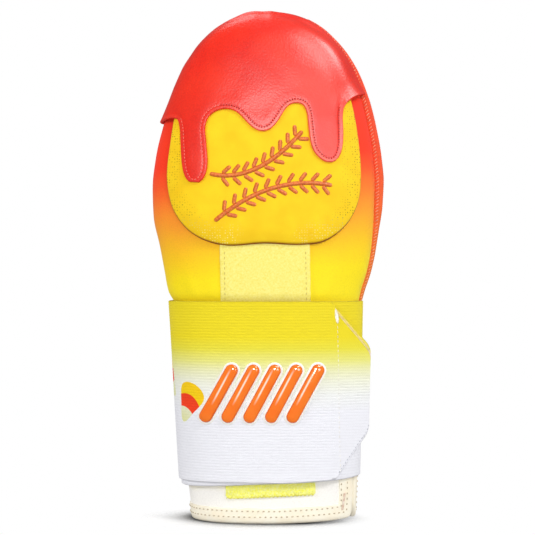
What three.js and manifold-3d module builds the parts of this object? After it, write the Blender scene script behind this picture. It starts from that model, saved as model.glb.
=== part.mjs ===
// A sliding mitt, the stiff padded hand guard that a base runner wears, standing on its wrist opening.
// Millimetres, +Z up. The back of the hand faces -Y and the palm +Y.
// The origin is on the floor under the middle.
//
// The body is one hollow neoprene shell, closed over the fingertips and open at the wrist.
// A raised guard pad is sewn on its front, and a leather cap with a dripping edge covers the fingertips.
// A wide elastic strap goes twice round the wrist and ends in a tab that stands off the side.

import * as THREE from "three";
import { mergeVertices } from "three/addons/utils/BufferGeometryUtils.js";
import Module from "manifold-3d";

const wasm = await Module();
wasm.setup();

// Driving dimensions

const GAP = 0.3; // between pieces that lie on each other
const WALL = 3; // neoprene shell
const LEATHER = 1.2; // fingertip cap
const PANEL = 0.9; // loop and hem strips
const TAPE = 1; // binding tape over the cuff's edge
const ELASTIC = 1.2; // one layer of the strap
const SECTORS = 36; // faces round the shell
const CAP_SECTORS = 48; // faces round the cap, which has to follow the pad's edge
const CURVE_STEPS = 5; // faces along a rounded corner
const FAR = 200; // larger than the mitt
const CENTRE = { x: -0.45, y: 2.35 }; // moves the whole mitt so that its box stands over the origin

// The shell's outside: its reach from the centre plane to the left, right, front and back at each height.
// square is the exponent of its right-hand corners, 2 for an ellipse and more for a squarer one.
const FORM = [
  { z: -6, left: 46.0, right: 52.6, front: 31.0, back: 31.0, square: 3.4 },
  { z: 0, left: 46.4, right: 52.8, front: 31.0, back: 31.0, square: 3.4 },
  { z: 14, left: 47.4, right: 53.2, front: 31.0, back: 31.0, square: 3.4 },
  { z: 27, left: 48.6, right: 53.5, front: 30.5, back: 31.0, square: 3.3 },
  { z: 60, left: 51.2, right: 53.9, front: 29.5, back: 30.3, square: 3.0 },
  { z: 95, left: 53.6, right: 54.3, front: 29.3, back: 29.6, square: 2.8 },
  { z: 129, left: 56.0, right: 55.0, front: 29.2, back: 29.0, square: 2.6 },
  { z: 136, left: 59.5, right: 56.4, front: 31.4, back: 30.0, square: 2.5 },
  { z: 149, left: 62.3, right: 60.2, front: 31.2, back: 29.6, square: 2.5 },
  { z: 164, left: 65.2, right: 62.9, front: 30.8, back: 29.0, square: 2.5 },
  { z: 182, left: 68.9, right: 64.4, front: 30.0, back: 28.2, square: 2.5 },
  { z: 200, left: 69.5, right: 64.8, front: 29.0, back: 27.2, square: 2.5 },
  { z: 218, left: 67.6, right: 63.6, front: 28.0, back: 26.2, square: 2.5 },
  { z: 236, left: 63.1, right: 60.7, front: 26.6, back: 25.0, square: 2.5 },
  { z: 252, left: 57.6, right: 56.8, front: 24.6, back: 23.4, square: 2.4 },
  { z: 266, left: 51.8, right: 52.4, front: 22.2, back: 21.4, square: 2.4 },
  { z: 278, left: 45.2, right: 46.4, front: 19.4, back: 19.0, square: 2.3 },
  { z: 288, left: 37.6, right: 38.6, front: 16.4, back: 16.2, square: 2.3 },
  { z: 295, left: 29.8, right: 31.2, front: 13.2, back: 13.2, square: 2.2 },
  { z: 300, left: 21.0, right: 22.6, front: 9.8, back: 9.8, square: 2.2 },
  { z: 302.8, left: 12.0, right: 13.0, front: 5.8, back: 5.8, square: 2.1 },
  { z: 303.5, left: 0, right: 0, front: 0, back: 0, square: 2 },
];
const LEFT_SQUARE = 2.4; // the same for the left-hand corners, at every height

// The inside of the stretched strap, which pulls the shell in at the wrist.
const STRAP_FORM = [
  { z: 20, left: 50.6, right: 54.6, front: 32.5, back: 32.0, square: 3.3 },
  { z: 60, left: 53.0, right: 55.3, front: 32.0, back: 31.4, square: 3.0 },
  { z: 97, left: 55.1, right: 55.9, front: 31.6, back: 30.7, square: 2.8 },
  { z: 134, left: 57.4, right: 56.6, front: 31.4, back: 30.2, square: 2.6 },
];

// Guard pad: the height of its rolled edge and of its middle, and how far in it reaches the full height.
const PAD = { edge: 2.4, crown: 6, shoulder: 15, sunk: 1.5, points: 48, middle: { x: -1.5, z: 228 } };
const PAD_RINGS = [1, 0.985, 0.93, 0.84, 0.72, 0.5, 0.25]; // shares of the outline, from the edge inwards

// Its outline on the front, anticlockwise from the bottom middle.
const PAD_OUTLINE = [
  { x: -1.5, z: 164.8 },
  { x: 20, z: 164 },
  { x: 33.5, z: 166.2 },
  { x: 45.5, z: 175 },
  { x: 52.6, z: 188.5 },
  { x: 54.2, z: 208 },
  { x: 51.8, z: 238 },
  { x: 45.5, z: 262 },
  { x: 36, z: 279.5 },
  { x: 18, z: 291.5 },
  { x: -4, z: 295.5 },
  { x: -27.5, z: 288.5 },
  { x: -43.2, z: 271 },
  { x: -52, z: 248 },
  { x: -56.6, z: 224 },
  { x: -58.8, z: 202 },
  { x: -54.8, z: 182.6 },
  { x: -43.8, z: 169.2 },
  { x: -26, z: 163.3 },
];

// Lower edge of the leather cap on the front, left to right: straight lines, and a radius at each corner.
const DRIP_EDGE = [
  { x: -80, z: 238.4, radius: 0 },
  { x: -54.2, z: 240.4, radius: 1.2 },
  { x: -50.2, z: 201.6, radius: 7.4 },
  { x: -34.4, z: 201.6, radius: 7.8 },
  { x: -37.4, z: 243, radius: 8 },
  { x: -20, z: 243.6, radius: 7 },
  { x: -3.4, z: 229.2, radius: 7.5 },
  { x: 2.6, z: 233.2, radius: 5 },
  { x: 14, z: 248, radius: 6 },
  { x: 23, z: 246.8, radius: 6 },
  { x: 25.4, z: 212.5, radius: 9.4 },
  { x: 45.6, z: 212.5, radius: 9.8 },
  { x: 43.6, z: 249.8, radius: 4 },
  { x: 80, z: 266, radius: 0 },
];
const SIDE_REACH = 80;
const CAP_BACK = { left: 237, right: 260 }; // heights of its plain edge on the palm side, at SIDE_REACH
const CAP_LIFT = { from: 9, to: 3 }; // outside the pad's edge, where the leather rises from shell to pad
const ABOVE_ALL = 330;

// Bound seam on the right: how far it stands off the shell at each height.
const SEAM_FIN = [
  { z: 131.7, reach: 2.1 },
  { z: 150, reach: 2.7 },
  { z: 165, reach: 3.1 },
  { z: 175, reach: 3.7 },
  { z: 186, reach: 5.0 },
  { z: 205, reach: 5.8 },
  { z: 230, reach: 5.2 },
  { z: 250, reach: 5.0 },
  { z: 262, reach: 4.2 },
  { z: 275, reach: 3.3 },
  { z: 290, reach: 2.5 },
  { z: 299.4, reach: 2 },
];
const FIN = { thickness: 3.2, bevel: 0.7, root: 2, stations: 90 };

// Cuff: the open slit on the right, between the edges of the front and back panels, and the taped bands.
const SLIT = { front: -20.5, back: -13, top: 40, corner: 5.5, inside: 30, frontX: 50.4, below: -1 };
const HEM_RISE = { from: 4, height: 2.6 }; // the front panel's hem lifts towards the slit
const BAND = { hem: 9, x: 43, back: -5.5, top: 48 };

const LOOP_PANEL = { left: -27.4, right: 25.6, bottom: 116, top: 170 };
const HEM_STRIP = { left: -24.4, right: 28.2, bottom: 14.8, rise: 1.8, top: 33 };
const PANEL_LEAN = 0.8; // the loop panel's top sits this far left of its foot

// Strap: one spiral, in degrees about +Z from +X. It starts under its own end on the left and goes over the
// front and round the back. Between lap and lapEnd it rises to lie on itself, and at leave it is a free tab.
const STRAP = { start: 150, lap: 450, lapEnd: 500, leave: 660, step: 10 };
const STRAP_EDGE = { lowLeft: 20.8, lowRight: 25, lapRise: 1.6, high: 131 };
const TAB = { x: 61.4, y: -21, high: 104, low: 53, steps: 5 };
const HOOK = { from: 0.62, thickness: 1, inset: 4 }; // hook tape, from this share of the tab to its end

// Badge on the strap: slanted raised bars on a thin backing that shows round them as a rim.
const BADGE = { x: -3, z: 77, bars: 5, pitch: 12.4, length: 38, width: 7.4, slant: 28 };
const BADGE_LAYERS = { backing: 0.8, rim: 3, bar: 2 };

// Solids from geometry, and back

function solidOf(geometry) {
  const SAME_POINT = 1e-4; // vertices closer than this are one
  const bare = geometry.index ? geometry.toNonIndexed() : geometry.clone();
  bare.deleteAttribute("normal");
  bare.deleteAttribute("uv");
  const merged = mergeVertices(bare, SAME_POINT);
  return new wasm.Manifold(
    new wasm.Mesh({
      numProp: 3,
      vertProperties: new Float32Array(merged.attributes.position.array),
      triVerts: new Uint32Array(merged.index.array),
    }),
  );
}

function geometryOf(solid) {
  const mesh = solid.getMesh();
  const points = new Float32Array(mesh.numVert * 3);
  for (let i = 0; i < mesh.numVert; i++) {
    points.set(mesh.vertProperties.subarray(i * mesh.numProp, i * mesh.numProp + 3), i * 3);
  }
  const geometry = new THREE.BufferGeometry();
  geometry.setAttribute("position", new THREE.BufferAttribute(points, 3));
  geometry.setIndex(new THREE.BufferAttribute(mesh.triVerts, 1));
  geometry.computeVertexNormals();
  return geometry;
}

function solidOfTriangles(points, triangles) {
  const geometry = new THREE.BufferGeometry();
  const numbers = points.flatMap((p) => [p.x, p.y, p.z]);
  geometry.setAttribute("position", new THREE.Float32BufferAttribute(numbers, 3));
  geometry.setIndex(triangles.flat());
  return solidOf(geometry);
}

function box(x0, x1, y0, y1, z0, z1) {
  const geometry = new THREE.BoxGeometry(x1 - x0, y1 - y0, z1 - z0);
  return solidOf(geometry.translate((x0 + x1) / 2, (y0 + y1) / 2, (z0 + z1) / 2));
}

// A shape drawn in x and z, as seen from the front, and carried through from y0 to y1.
function frontPrism(shape, y0, y1) {
  return solidOf(extruded(shape, y1 - y0).translate(0, y1, 0));
}

function extruded(shape, depth) {
  const options = { depth, bevelEnabled: false, curveSegments: CURVE_STEPS };
  return new THREE.ExtrudeGeometry(shape, options).rotateX(Math.PI / 2);
}

// A closed outline of straight lines, each corner rounded to its own radius.
function roundedShape(corners) {
  const shape = new THREE.Shape();
  corners.forEach((corner, i) => {
    const at = new THREE.Vector2(corner.x, corner.z);
    const before = corners[(i + corners.length - 1) % corners.length];
    const after = corners[(i + 1) % corners.length];
    const back = new THREE.Vector2(before.x, before.z).sub(at).normalize();
    const on = new THREE.Vector2(after.x, after.z).sub(at).normalize();
    const half = Math.acos(THREE.MathUtils.clamp(back.dot(on), -1, 1)) / 2;
    const reach = corner.radius / Math.tan(half);
    const start = at.clone().addScaledVector(back, reach);
    const end = at.clone().addScaledVector(on, reach);
    if (i === 0) shape.moveTo(start.x, start.y);
    else shape.lineTo(start.x, start.y);
    if (corner.radius > 0) shape.quadraticCurveTo(at.x, at.y, end.x, end.y);
  });
  shape.closePath();
  return shape;
}

// The rounded sections of the shell and the strap

function rowAt(form, z) {
  const i = THREE.MathUtils.clamp(form.findIndex((row) => row.z > z), 1, form.length - 1);
  const [a, b] = [form[i - 1], form[i]];
  const t = THREE.MathUtils.clamp((z - a.z) / (b.z - a.z), 0, 1);
  const row = { z };
  for (const key of ["left", "right", "front", "back", "square"]) row[key] = a[key] + (b[key] - a[key]) * t;
  return row;
}

// A point of the section at an angle about +Z from +X.
function sectionPoint(row, angle) {
  const [c, s] = [Math.cos(angle), Math.sin(angle)];
  const half = (row.left + row.right) / 2;
  const power = 2 / (c > 0 ? row.square : LEFT_SQUARE);
  const depth = s > 0 ? row.back : row.front;
  const x = (row.right - row.left) / 2 + Math.sign(c) * half * Math.abs(c) ** power;
  return new THREE.Vector3(x, Math.sign(s) * depth * Math.abs(s) ** power, row.z);
}

// The point on the shell's front at x and z, and the direction straight out of it.
function frontPoint(x, z) {
  const NEAR_SIDE = 0.995; // share of the half width where the front turns too steep to measure
  const STEP = 0.5;
  const depthAt = (px, pz) => {
    const row = rowAt(FORM, pz);
    const middle = (row.right - row.left) / 2;
    const power = px > middle ? row.square : LEFT_SQUARE;
    const share = Math.min(Math.abs((px - middle) * 2) / (row.left + row.right), NEAR_SIDE);
    return -row.front * (1 - share ** power) ** (1 / power);
  };
  const slopeX = (depthAt(x + STEP, z) - depthAt(x - STEP, z)) / (2 * STEP);
  const slopeZ = (depthAt(x, z + STEP) - depthAt(x, z - STEP)) / (2 * STEP);
  const point = new THREE.Vector3(x, depthAt(x, z), z);
  return { point, out: new THREE.Vector3(slopeX, -1, slopeZ).normalize() };
}

// A closed solid through rings of points, each end closed by a fan to the middle of its ring.
function ringSolid(rings) {
  const count = rings[0].length;
  const points = rings.flat();
  const triangles = [];
  const at = (ring, i) => ring * count + (i % count);
  for (let ring = 0; ring + 1 < rings.length; ring++) {
    for (let i = 0; i < count; i++) {
      triangles.push([at(ring, i), at(ring, i + 1), at(ring + 1, i + 1)]);
      triangles.push([at(ring, i), at(ring + 1, i + 1), at(ring + 1, i)]);
    }
  }
  [0, rings.length - 1].forEach((ring) => {
    const middle = new THREE.Vector3();
    rings[ring].forEach((p) => middle.addScaledVector(p, 1 / count));
    points.push(middle);
    for (let i = 0; i < count; i++) {
      const edge = [at(ring, i), at(ring, i + 1)];
      triangles.push([points.length - 1, ...(ring ? edge : edge.reverse())]);
    }
  });
  return solidOfTriangles(points, triangles);
}

// The form's rings, moved straight out of the surface by offset, a number or a function of the point.
function offsetRings(form, sectors, offset) {
  const rings = form.map((row) =>
    Array.from({ length: sectors }, (_, i) => sectionPoint(row, (i / sectors) * 2 * Math.PI)),
  );
  return rings.map((ring, r) =>
    ring.map((point, i) => {
      const above = rings[Math.min(r + 1, rings.length - 1)][i];
      const below = rings[Math.max(r - 1, 0)][i];
      const round = ring[(i + 1) % sectors].clone().sub(ring[(i + sectors - 1) % sectors]);
      const out = round.cross(above.clone().sub(below));
      if (form[r].left === 0) out.set(0, 0, 1);
      const reach = typeof offset === "function" ? offset(point) : offset;
      return point.clone().addScaledVector(out.normalize(), reach);
    }),
  );
}

const shellGrown = (offset) => ringSolid(offsetRings(FORM, SECTORS, offset));
const strapGrown = (offset) => ringSolid(offsetRings(STRAP_FORM, SECTORS, offset));

// The guard pad's outline and height, which the leather cap follows too

const padCurve = new THREE.CatmullRomCurve3(
  PAD_OUTLINE.map((p) => new THREE.Vector3(p.x, 0, p.z)),
  true,
  "centripetal",
);
const padEdge = padCurve.getSpacedPoints(PAD.points).slice(0, PAD.points);

// Distance from x, z to the pad's outline: positive inside it, negative outside.
function insidePad(x, z) {
  let nearest = Infinity;
  let inside = false;
  padEdge.forEach((a, i) => {
    const b = padEdge[(i + 1) % PAD.points];
    const [ex, ez] = [b.x - a.x, b.z - a.z];
    const t = THREE.MathUtils.clamp(((x - a.x) * ex + (z - a.z) * ez) / (ex * ex + ez * ez), 0, 1);
    nearest = Math.min(nearest, Math.hypot(x - a.x - t * ex, z - a.z - t * ez));
    if (a.z > z !== b.z > z && x < a.x + (ex * (z - a.z)) / ez) inside = !inside;
  });
  return inside ? nearest : -nearest;
}

function padHeight(inward) {
  const t = THREE.MathUtils.clamp(inward / PAD.shoulder, 0, 1);
  return PAD.edge + (PAD.crown - PAD.edge) * (1 - (1 - t) ** 2);
}

// The pad grown by a margin on all sides. Its underside is sunk in the shell, to be cut to that surface.
function padSolid(margin) {
  const ringAt = (share, height) =>
    padEdge.map((edge) => {
      const [x, z] = [edge.x - PAD.middle.x, edge.z - PAD.middle.z];
      const grown = share * (1 + margin / Math.hypot(x, z));
      const { point, out } = frontPoint(PAD.middle.x + x * grown, PAD.middle.z + z * grown);
      return point.addScaledVector(out, height(insidePad(point.x, point.z)));
    });
  const under = [...PAD_RINGS].reverse().map((share) => ringAt(share, () => -PAD.sunk));
  const top = PAD_RINGS.map((share) => ringAt(share, (inward) => GAP + padHeight(inward) + margin));
  return ringSolid([...under, ...top]);
}

// The pieces, one function each

// Hollow, and thinned on both faces where the cuff's tape is folded over its edge.
function makeShell() {
  const HOLLOW_DETAIL = 60; // above this height the hollow follows every second row of the form
  const hollow = FORM.filter((row, i) => row.z < HOLLOW_DETAIL || i % 2);
  const bands = bandZone(BAND.hem + GAP, BAND.x - GAP, BAND.back + GAP, BAND.top + GAP);
  const pared = shellGrown(GAP)
    .subtract(shellGrown(-TAPE))
    .add(shellGrown(TAPE - WALL))
    .intersect(bands);
  return shellGrown(0)
    .subtract(ringSolid(offsetRings(hollow, SECTORS, -WALL)))
    .intersect(box(-FAR, FAR, -FAR, FAR, TAPE + GAP, FAR * 2))
    .subtract(slitCut(TAPE + GAP))
    .subtract(pared);
}

// The part of the cuff that the binding tape covers: the hem all round, and both edges of the slit.
function bandZone(height, x, back, top) {
  return box(-FAR, FAR, -FAR, FAR, -FAR, height).add(box(x, FAR, -FAR, back, -FAR, top));
}

// The open slit and the rounded corners of both panels beside it, grown by a margin.
function slitCut(margin) {
  const [front, back, top] = [SLIT.front - margin, SLIT.back + margin, SLIT.top + margin];
  const [edge, r, lifted] = [SLIT.frontX - margin, SLIT.corner, HEM_RISE.height + margin];
  const below = SLIT.below + margin;
  const frontCorner = new THREE.Shape();
  frontCorner.moveTo(HEM_RISE.from, below);
  frontCorner.lineTo(HEM_RISE.from, margin);
  frontCorner.lineTo(edge - r, lifted);
  frontCorner.absarc(edge - r, lifted + r, r, -Math.PI / 2, 0, false);
  frontCorner.lineTo(edge, top);
  frontCorner.lineTo(FAR, top);
  frontCorner.lineTo(FAR, below);
  const backCorner = new THREE.Shape();
  backCorner.moveTo(back + r, below);
  backCorner.lineTo(back + r, margin);
  backCorner.absarc(back + r, margin + r, r, -Math.PI / 2, -Math.PI, true);
  backCorner.lineTo(back, below);
  const across = extruded(backCorner, FAR).rotateZ(Math.PI / 2).translate(SLIT.inside, 0, 0);
  return box(SLIT.inside, FAR, front, back, -FAR, top)
    .add(frontPrism(frontCorner, -FAR, back))
    .add(solidOf(across));
}

// Folded tape: an outer face, an inner face and the fold under them, round the shell's pared edge.
function makeCuffBinding() {
  const [outside, inside] = [GAP, -WALL - GAP];
  const groove = shellGrown(outside - TAPE)
    .subtract(shellGrown(inside + TAPE))
    .intersect(box(-FAR, FAR, -FAR, FAR, TAPE, FAR))
    .subtract(slitCut(TAPE));
  return shellGrown(outside)
    .subtract(shellGrown(inside))
    .intersect(bandZone(BAND.hem, BAND.x, BAND.back, BAND.top))
    .intersect(box(-FAR, FAR, -FAR, FAR, 0, FAR))
    .subtract(slitCut(0))
    .subtract(groove);
}

function makeGuardPad() {
  return padSolid(0).subtract(shellGrown(GAP));
}

// Leather drawn tight over the shell and the pad, so its outside rises over the pad's edge.
function makeDripCap() {
  const LONGEST_STEP = 6; // between two rows of the form
  const lowest = Math.min(...DRIP_EDGE.map((corner) => corner.z)) - PAD.shoulder;
  const rows = FORM.filter((row) => row.z > lowest).flatMap((row, i, all) => {
    const next = all[i + 1];
    return next && next.z - row.z > LONGEST_STEP ? [row, rowAt(FORM, (row.z + next.z) / 2)] : [row];
  });
  const outside = (point) => {
    const outward = -insidePad(point.x, point.z);
    const onPad = 1 - THREE.MathUtils.smoothstep(outward, CAP_LIFT.to, CAP_LIFT.from);
    return GAP + LEATHER + (point.y < 0 ? onPad * (GAP + padHeight(CAP_LIFT.to - outward)) : 0);
  };
  const over = [
    { x: SIDE_REACH, z: ABOVE_ALL, radius: 0 },
    { x: -SIDE_REACH, z: ABOVE_ALL, radius: 0 },
  ];
  const back = [
    { x: -SIDE_REACH, z: CAP_BACK.left, radius: 0 },
    { x: SIDE_REACH, z: CAP_BACK.right, radius: 0 },
  ];
  const front = frontPrism(roundedShape([...DRIP_EDGE, ...over]), -FAR, 0);
  return ringSolid(offsetRings(rows, CAP_SECTORS, outside))
    .subtract(shellGrown(GAP))
    .subtract(padSolid(GAP))
    .intersect(front.add(frontPrism(roundedShape([...back, ...over]), -GAP, FAR)))
    .subtract(finSolid(GAP));
}

// A flat fin along the right-hand silhouette, rooted in the shell and grown by a margin.
function finSolid(margin) {
  const edge = FORM.filter((row) => row.z > 0 && row.left > 0);
  const side = new THREE.SplineCurve(edge.map((row) => new THREE.Vector2(row.right, row.z)));
  const [lowest, highest] = [SEAM_FIN[0].z, SEAM_FIN[SEAM_FIN.length - 1].z];
  const [inner, outer] = [[], []];
  side.getSpacedPoints(FIN.stations).forEach((p, i) => {
    if (p.y < lowest - margin || p.y > highest + margin) return;
    const tangent = side.getTangentAt(i / FIN.stations);
    const out = new THREE.Vector2(tangent.y, -tangent.x);
    const k = THREE.MathUtils.clamp(SEAM_FIN.findIndex((row) => row.z > p.y), 1, SEAM_FIN.length - 1);
    const [a, b] = [SEAM_FIN[k - 1], SEAM_FIN[k]];
    const reach = a.reach + ((b.reach - a.reach) * (p.y - a.z)) / (b.z - a.z);
    inner.push(p.clone().addScaledVector(out, -FIN.root));
    outer.push(p.clone().addScaledVector(out, reach + 2 * margin));
  });
  const bevel = margin ? 0 : FIN.bevel;
  const geometry = new THREE.ExtrudeGeometry(new THREE.Shape([...inner, ...outer.reverse()]), {
    depth: FIN.thickness + 2 * (margin - bevel),
    bevelThickness: bevel,
    bevelSize: bevel,
    bevelOffset: -bevel,
    bevelSegments: 1,
    bevelEnabled: bevel > 0,
  });
  return solidOf(geometry.rotateX(Math.PI / 2).translate(0, FIN.thickness / 2 + margin - bevel, 0));
}

// The sewn edges of the front and back panels, in one folded tape.
function makeSideBinding() {
  return finSolid(0).subtract(shellGrown(GAP));
}

// A thin strip sewn flat on the front of the shell.
function makePanel(corners) {
  const sheet = shellGrown(GAP + PANEL).subtract(shellGrown(GAP));
  return sheet.intersect(frontPrism(roundedShape(corners), -FAR, 0));
}

function makeLoopPanel() {
  const { left, right, bottom, top } = LOOP_PANEL;
  const strip = makePanel([
    { x: left, z: bottom, radius: 0 },
    { x: right, z: bottom, radius: 0 },
    { x: right - PANEL_LEAN, z: top, radius: 0 },
    { x: left - PANEL_LEAN, z: top, radius: 0 },
  ]);
  return strip.subtract(padSolid(GAP));
}

function makeHemStrip() {
  const { left, right, bottom, rise, top } = HEM_STRIP;
  return makePanel([
    { x: left, z: bottom, radius: 0 },
    { x: right, z: bottom + rise, radius: 0 },
    { x: right, z: top, radius: 0 },
    { x: left, z: top, radius: 0 },
  ]);
}

// A point of the spiral at an angle and height, and its level directions along the strap and out of it.
function spiralPoint(angle, z) {
  const STEP = 0.02;
  const row = rowAt(STRAP_FORM, z);
  const along = sectionPoint(row, angle + STEP).sub(sectionPoint(row, angle - STEP)).normalize();
  return { point: sectionPoint(row, angle), along, out: new THREE.Vector3(along.y, -along.x, 0) };
}

// The strap's stations: each has its lower and upper edge, and gives the point at a height and an offset.
function strapStations() {
  const stations = [];
  for (let degrees = STRAP.start; degrees <= STRAP.leave; degrees += STRAP.step) {
    const angle = THREE.MathUtils.degToRad(degrees);
    const lap = THREE.MathUtils.smoothstep(degrees, STRAP.lap, STRAP.lapEnd);
    const rightward = (Math.cos(angle) + 1) / 2;
    const under = THREE.MathUtils.lerp(STRAP_EDGE.lowLeft, STRAP_EDGE.lowRight, rightward);
    stations.push({
      low: under + STRAP_EDGE.lapRise * lap,
      high: STRAP_EDGE.high,
      at: (z, offset) => {
        const { point, out } = spiralPoint(angle, z);
        return point.addScaledVector(out, lap * (ELASTIC + GAP) + offset);
      },
    });
  }
  const last = stations[stations.length - 1];
  const leaving = THREE.MathUtils.degToRad(STRAP.leave);
  for (let i = 1; i <= TAB.steps; i++) {
    const share = i / TAB.steps;
    stations.push({
      share,
      low: THREE.MathUtils.lerp(last.low, TAB.low, share),
      high: THREE.MathUtils.lerp(last.high, TAB.high, share),
      at: (z, offset) => {
        const from = last.at(z, offset);
        const end = new THREE.Vector3(TAB.x, TAB.y - offset, z);
        const { along } = spiralPoint(leaving, z);
        const bend = from.clone().addScaledVector(along, from.distanceTo(end) / 2);
        return new THREE.QuadraticBezierCurve3(from, bend, end).getPoint(share).setZ(z);
      },
    });
  }
  return stations;
}

// A band swept through stations, between two offsets, its edges drawn in by an inset.
function bandSolid(stations, inner, outer, inset) {
  return ringSolid(
    stations.map((station) => {
      const [low, high] = [station.low + inset, station.high - inset];
      const heights = [low, (low + high) / 2, high];
      const inside = heights.map((z) => station.at(z, inner));
      return [...inside, ...heights.reverse().map((z) => station.at(z, outer))];
    }),
  );
}

function makeStrap() {
  return bandSolid(strapStations(), 0, ELASTIC, 0);
}

function makeHookPatch() {
  const tab = strapStations().filter((station) => station.share > HOOK.from);
  return bandSolid(tab, -GAP - HOOK.thickness, -GAP, HOOK.inset);
}

// One bar of the badge as a slanted shape with round ends, grown by a margin.
function barShape(i, margin) {
  const [halfLength, halfWidth] = [BADGE.length / 2 + margin, BADGE.width / 2 + margin];
  const upright = new THREE.Shape();
  upright.absarc(0, halfLength - halfWidth, halfWidth, 0, Math.PI, false);
  upright.absarc(0, halfWidth - halfLength, halfWidth, Math.PI, 2 * Math.PI, false);
  const slant = -THREE.MathUtils.degToRad(BADGE.slant);
  const origin = new THREE.Vector2();
  const middle = new THREE.Vector2(BADGE.x + (i - (BADGE.bars - 1) / 2) * BADGE.pitch, BADGE.z);
  const outline = upright.getPoints(CURVE_STEPS - 1);
  return new THREE.Shape(outline.map((p) => p.rotateAround(origin, slant).add(middle)));
}

const strapTop = 2 * (ELASTIC + GAP); // above the inside of the strap's lower layer

function makeBadgeBacking() {
  const sheet = strapGrown(strapTop + BADGE_LAYERS.backing).subtract(strapGrown(strapTop));
  const bars = Array.from({ length: BADGE.bars }, (_, i) => barShape(i, BADGE_LAYERS.rim));
  return sheet.intersect(bars.map((bar) => frontPrism(bar, -FAR, 0)).reduce((all, bar) => all.add(bar)));
}

function makeBadgeBar(i) {
  const foot = strapTop + BADGE_LAYERS.backing + GAP;
  const sheet = strapGrown(foot + BADGE_LAYERS.bar).subtract(strapGrown(foot));
  return sheet.intersect(frontPrism(barShape(i, 0), -FAR, 0));
}

// Assembly

const finish = (color, roughness) => new THREE.MeshStandardMaterial({ color, roughness, metalness: 0 });
const neoprene = finish(0xfbb024, 0.8);
const padYellow = finish(0xfdd52a, 0.75);
const redLeather = finish(0xf5321f, 0.4);
const orangeTape = finish(0xf0682a, 0.75);
const paleLoop = finish(0xfbf081, 0.9);
const brightTape = finish(0xfff648, 0.9);
const creamTape = finish(0xfdf3dc, 0.8);
const elastic = finish(0xeeeff2, 0.85);
const hookWhite = finish(0xf0f0ee, 0.9);
const badgeWhite = finish(0xf6f4f0, 0.5);
const badgeOrange = finish(0xff7a26, 0.2);

const mitt = new THREE.Group();
mitt.position.set(CENTRE.x, CENTRE.y, 0);

function place(name, solid, material) {
  const mesh = new THREE.Mesh(geometryOf(solid), material);
  mesh.name = name;
  mitt.add(mesh);
}

place("mitt_shell", makeShell(), neoprene);
place("guard_pad", makeGuardPad(), padYellow);
place("drip_cap", makeDripCap(), redLeather);
place("side_binding", makeSideBinding(), orangeTape);
place("loop_panel", makeLoopPanel(), paleLoop);
place("hem_strip", makeHemStrip(), brightTape);
place("cuff_binding", makeCuffBinding(), creamTape);
place("wrist_strap", makeStrap(), elastic);
place("hook_patch", makeHookPatch(), hookWhite);
place("badge_backing", makeBadgeBacking(), badgeWhite);
for (let i = 0; i < BADGE.bars; i++) place(`badge_bar_${i + 1}`, makeBadgeBar(i), badgeOrange);

export default mitt;
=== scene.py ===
# A sliding mitt, the padded hand guard that a base runner wears, standing on its cuff.
# Lengths are millimetres in the mitt's own frame: +Z up, the back of the hand towards -Y.
# add_piece moves them to the shared frame and turns them into metres.

import math
from functools import partial

import bpy
import numpy as np
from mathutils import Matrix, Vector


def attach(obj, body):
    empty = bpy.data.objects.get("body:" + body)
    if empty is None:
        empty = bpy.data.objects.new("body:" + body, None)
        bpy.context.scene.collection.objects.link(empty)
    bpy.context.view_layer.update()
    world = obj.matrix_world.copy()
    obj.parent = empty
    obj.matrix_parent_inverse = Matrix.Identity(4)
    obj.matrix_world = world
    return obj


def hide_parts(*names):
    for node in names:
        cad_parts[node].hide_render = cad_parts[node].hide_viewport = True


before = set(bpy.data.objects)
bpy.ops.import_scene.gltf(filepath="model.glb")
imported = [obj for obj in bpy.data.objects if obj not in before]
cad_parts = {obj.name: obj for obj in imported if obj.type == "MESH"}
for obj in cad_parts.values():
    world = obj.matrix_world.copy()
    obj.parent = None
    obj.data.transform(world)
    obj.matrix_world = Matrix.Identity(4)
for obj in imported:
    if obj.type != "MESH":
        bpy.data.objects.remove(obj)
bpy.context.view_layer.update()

# Mitt shell
# Neoprene foam 3 mm thick, faced inside and out with smooth printed knit. It is one closed mitten from
# the fingertips to the wrist, sewn along the right side, with an open slit beside the cuff.

FORM = np.array([
    # height, left, right, front, back, squareness of the right-hand corners
    [-6, 44.6, 52.2, 31.0, 31.0, 3.4], [0, 45.2, 52.4, 31.0, 31.0, 3.4],
    [14, 46.9, 53.0, 31.0, 31.0, 3.4], [27, 48.6, 53.5, 30.5, 31.0, 3.3],
    [60, 51.2, 53.9, 29.5, 30.3, 3.0], [95, 53.6, 54.3, 29.3, 29.6, 2.8],
    [129, 56.0, 55.0, 29.2, 29.0, 2.6], [136, 59.5, 56.4, 31.4, 30.0, 2.5],
    [149, 62.3, 60.2, 31.2, 29.6, 2.5], [164, 65.2, 62.9, 30.8, 29.0, 2.5],
    [182, 68.9, 64.4, 30.0, 28.2, 2.5], [200, 69.5, 64.8, 29.0, 27.2, 2.5],
    [218, 67.6, 63.6, 28.0, 26.2, 2.5], [236, 63.1, 60.7, 26.6, 25.0, 2.5],
    [252, 57.6, 56.8, 24.6, 23.4, 2.4], [266, 51.8, 52.4, 22.2, 21.4, 2.4],
    [278, 45.2, 46.4, 19.4, 19.0, 2.3], [288, 37.6, 38.6, 16.4, 16.2, 2.3],
    [295, 29.8, 31.2, 13.2, 13.2, 2.2], [300, 21.0, 22.6, 9.8, 9.8, 2.2],
    [302.8, 12.0, 13.0, 5.8, 5.8, 2.1], [303.5, 0.0, 0.0, 0.0, 0.0, 2.0],
])
WIDEST_ROW = 11  # of FORM, at 200 mm
PAST_TOP = np.array([[302.8, -12.0, -13.0, -5.8, -5.8, 2.1]])  # carries the curve level over the top
LEFT_SQUARE = 2.4
WALL = 3.0
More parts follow.
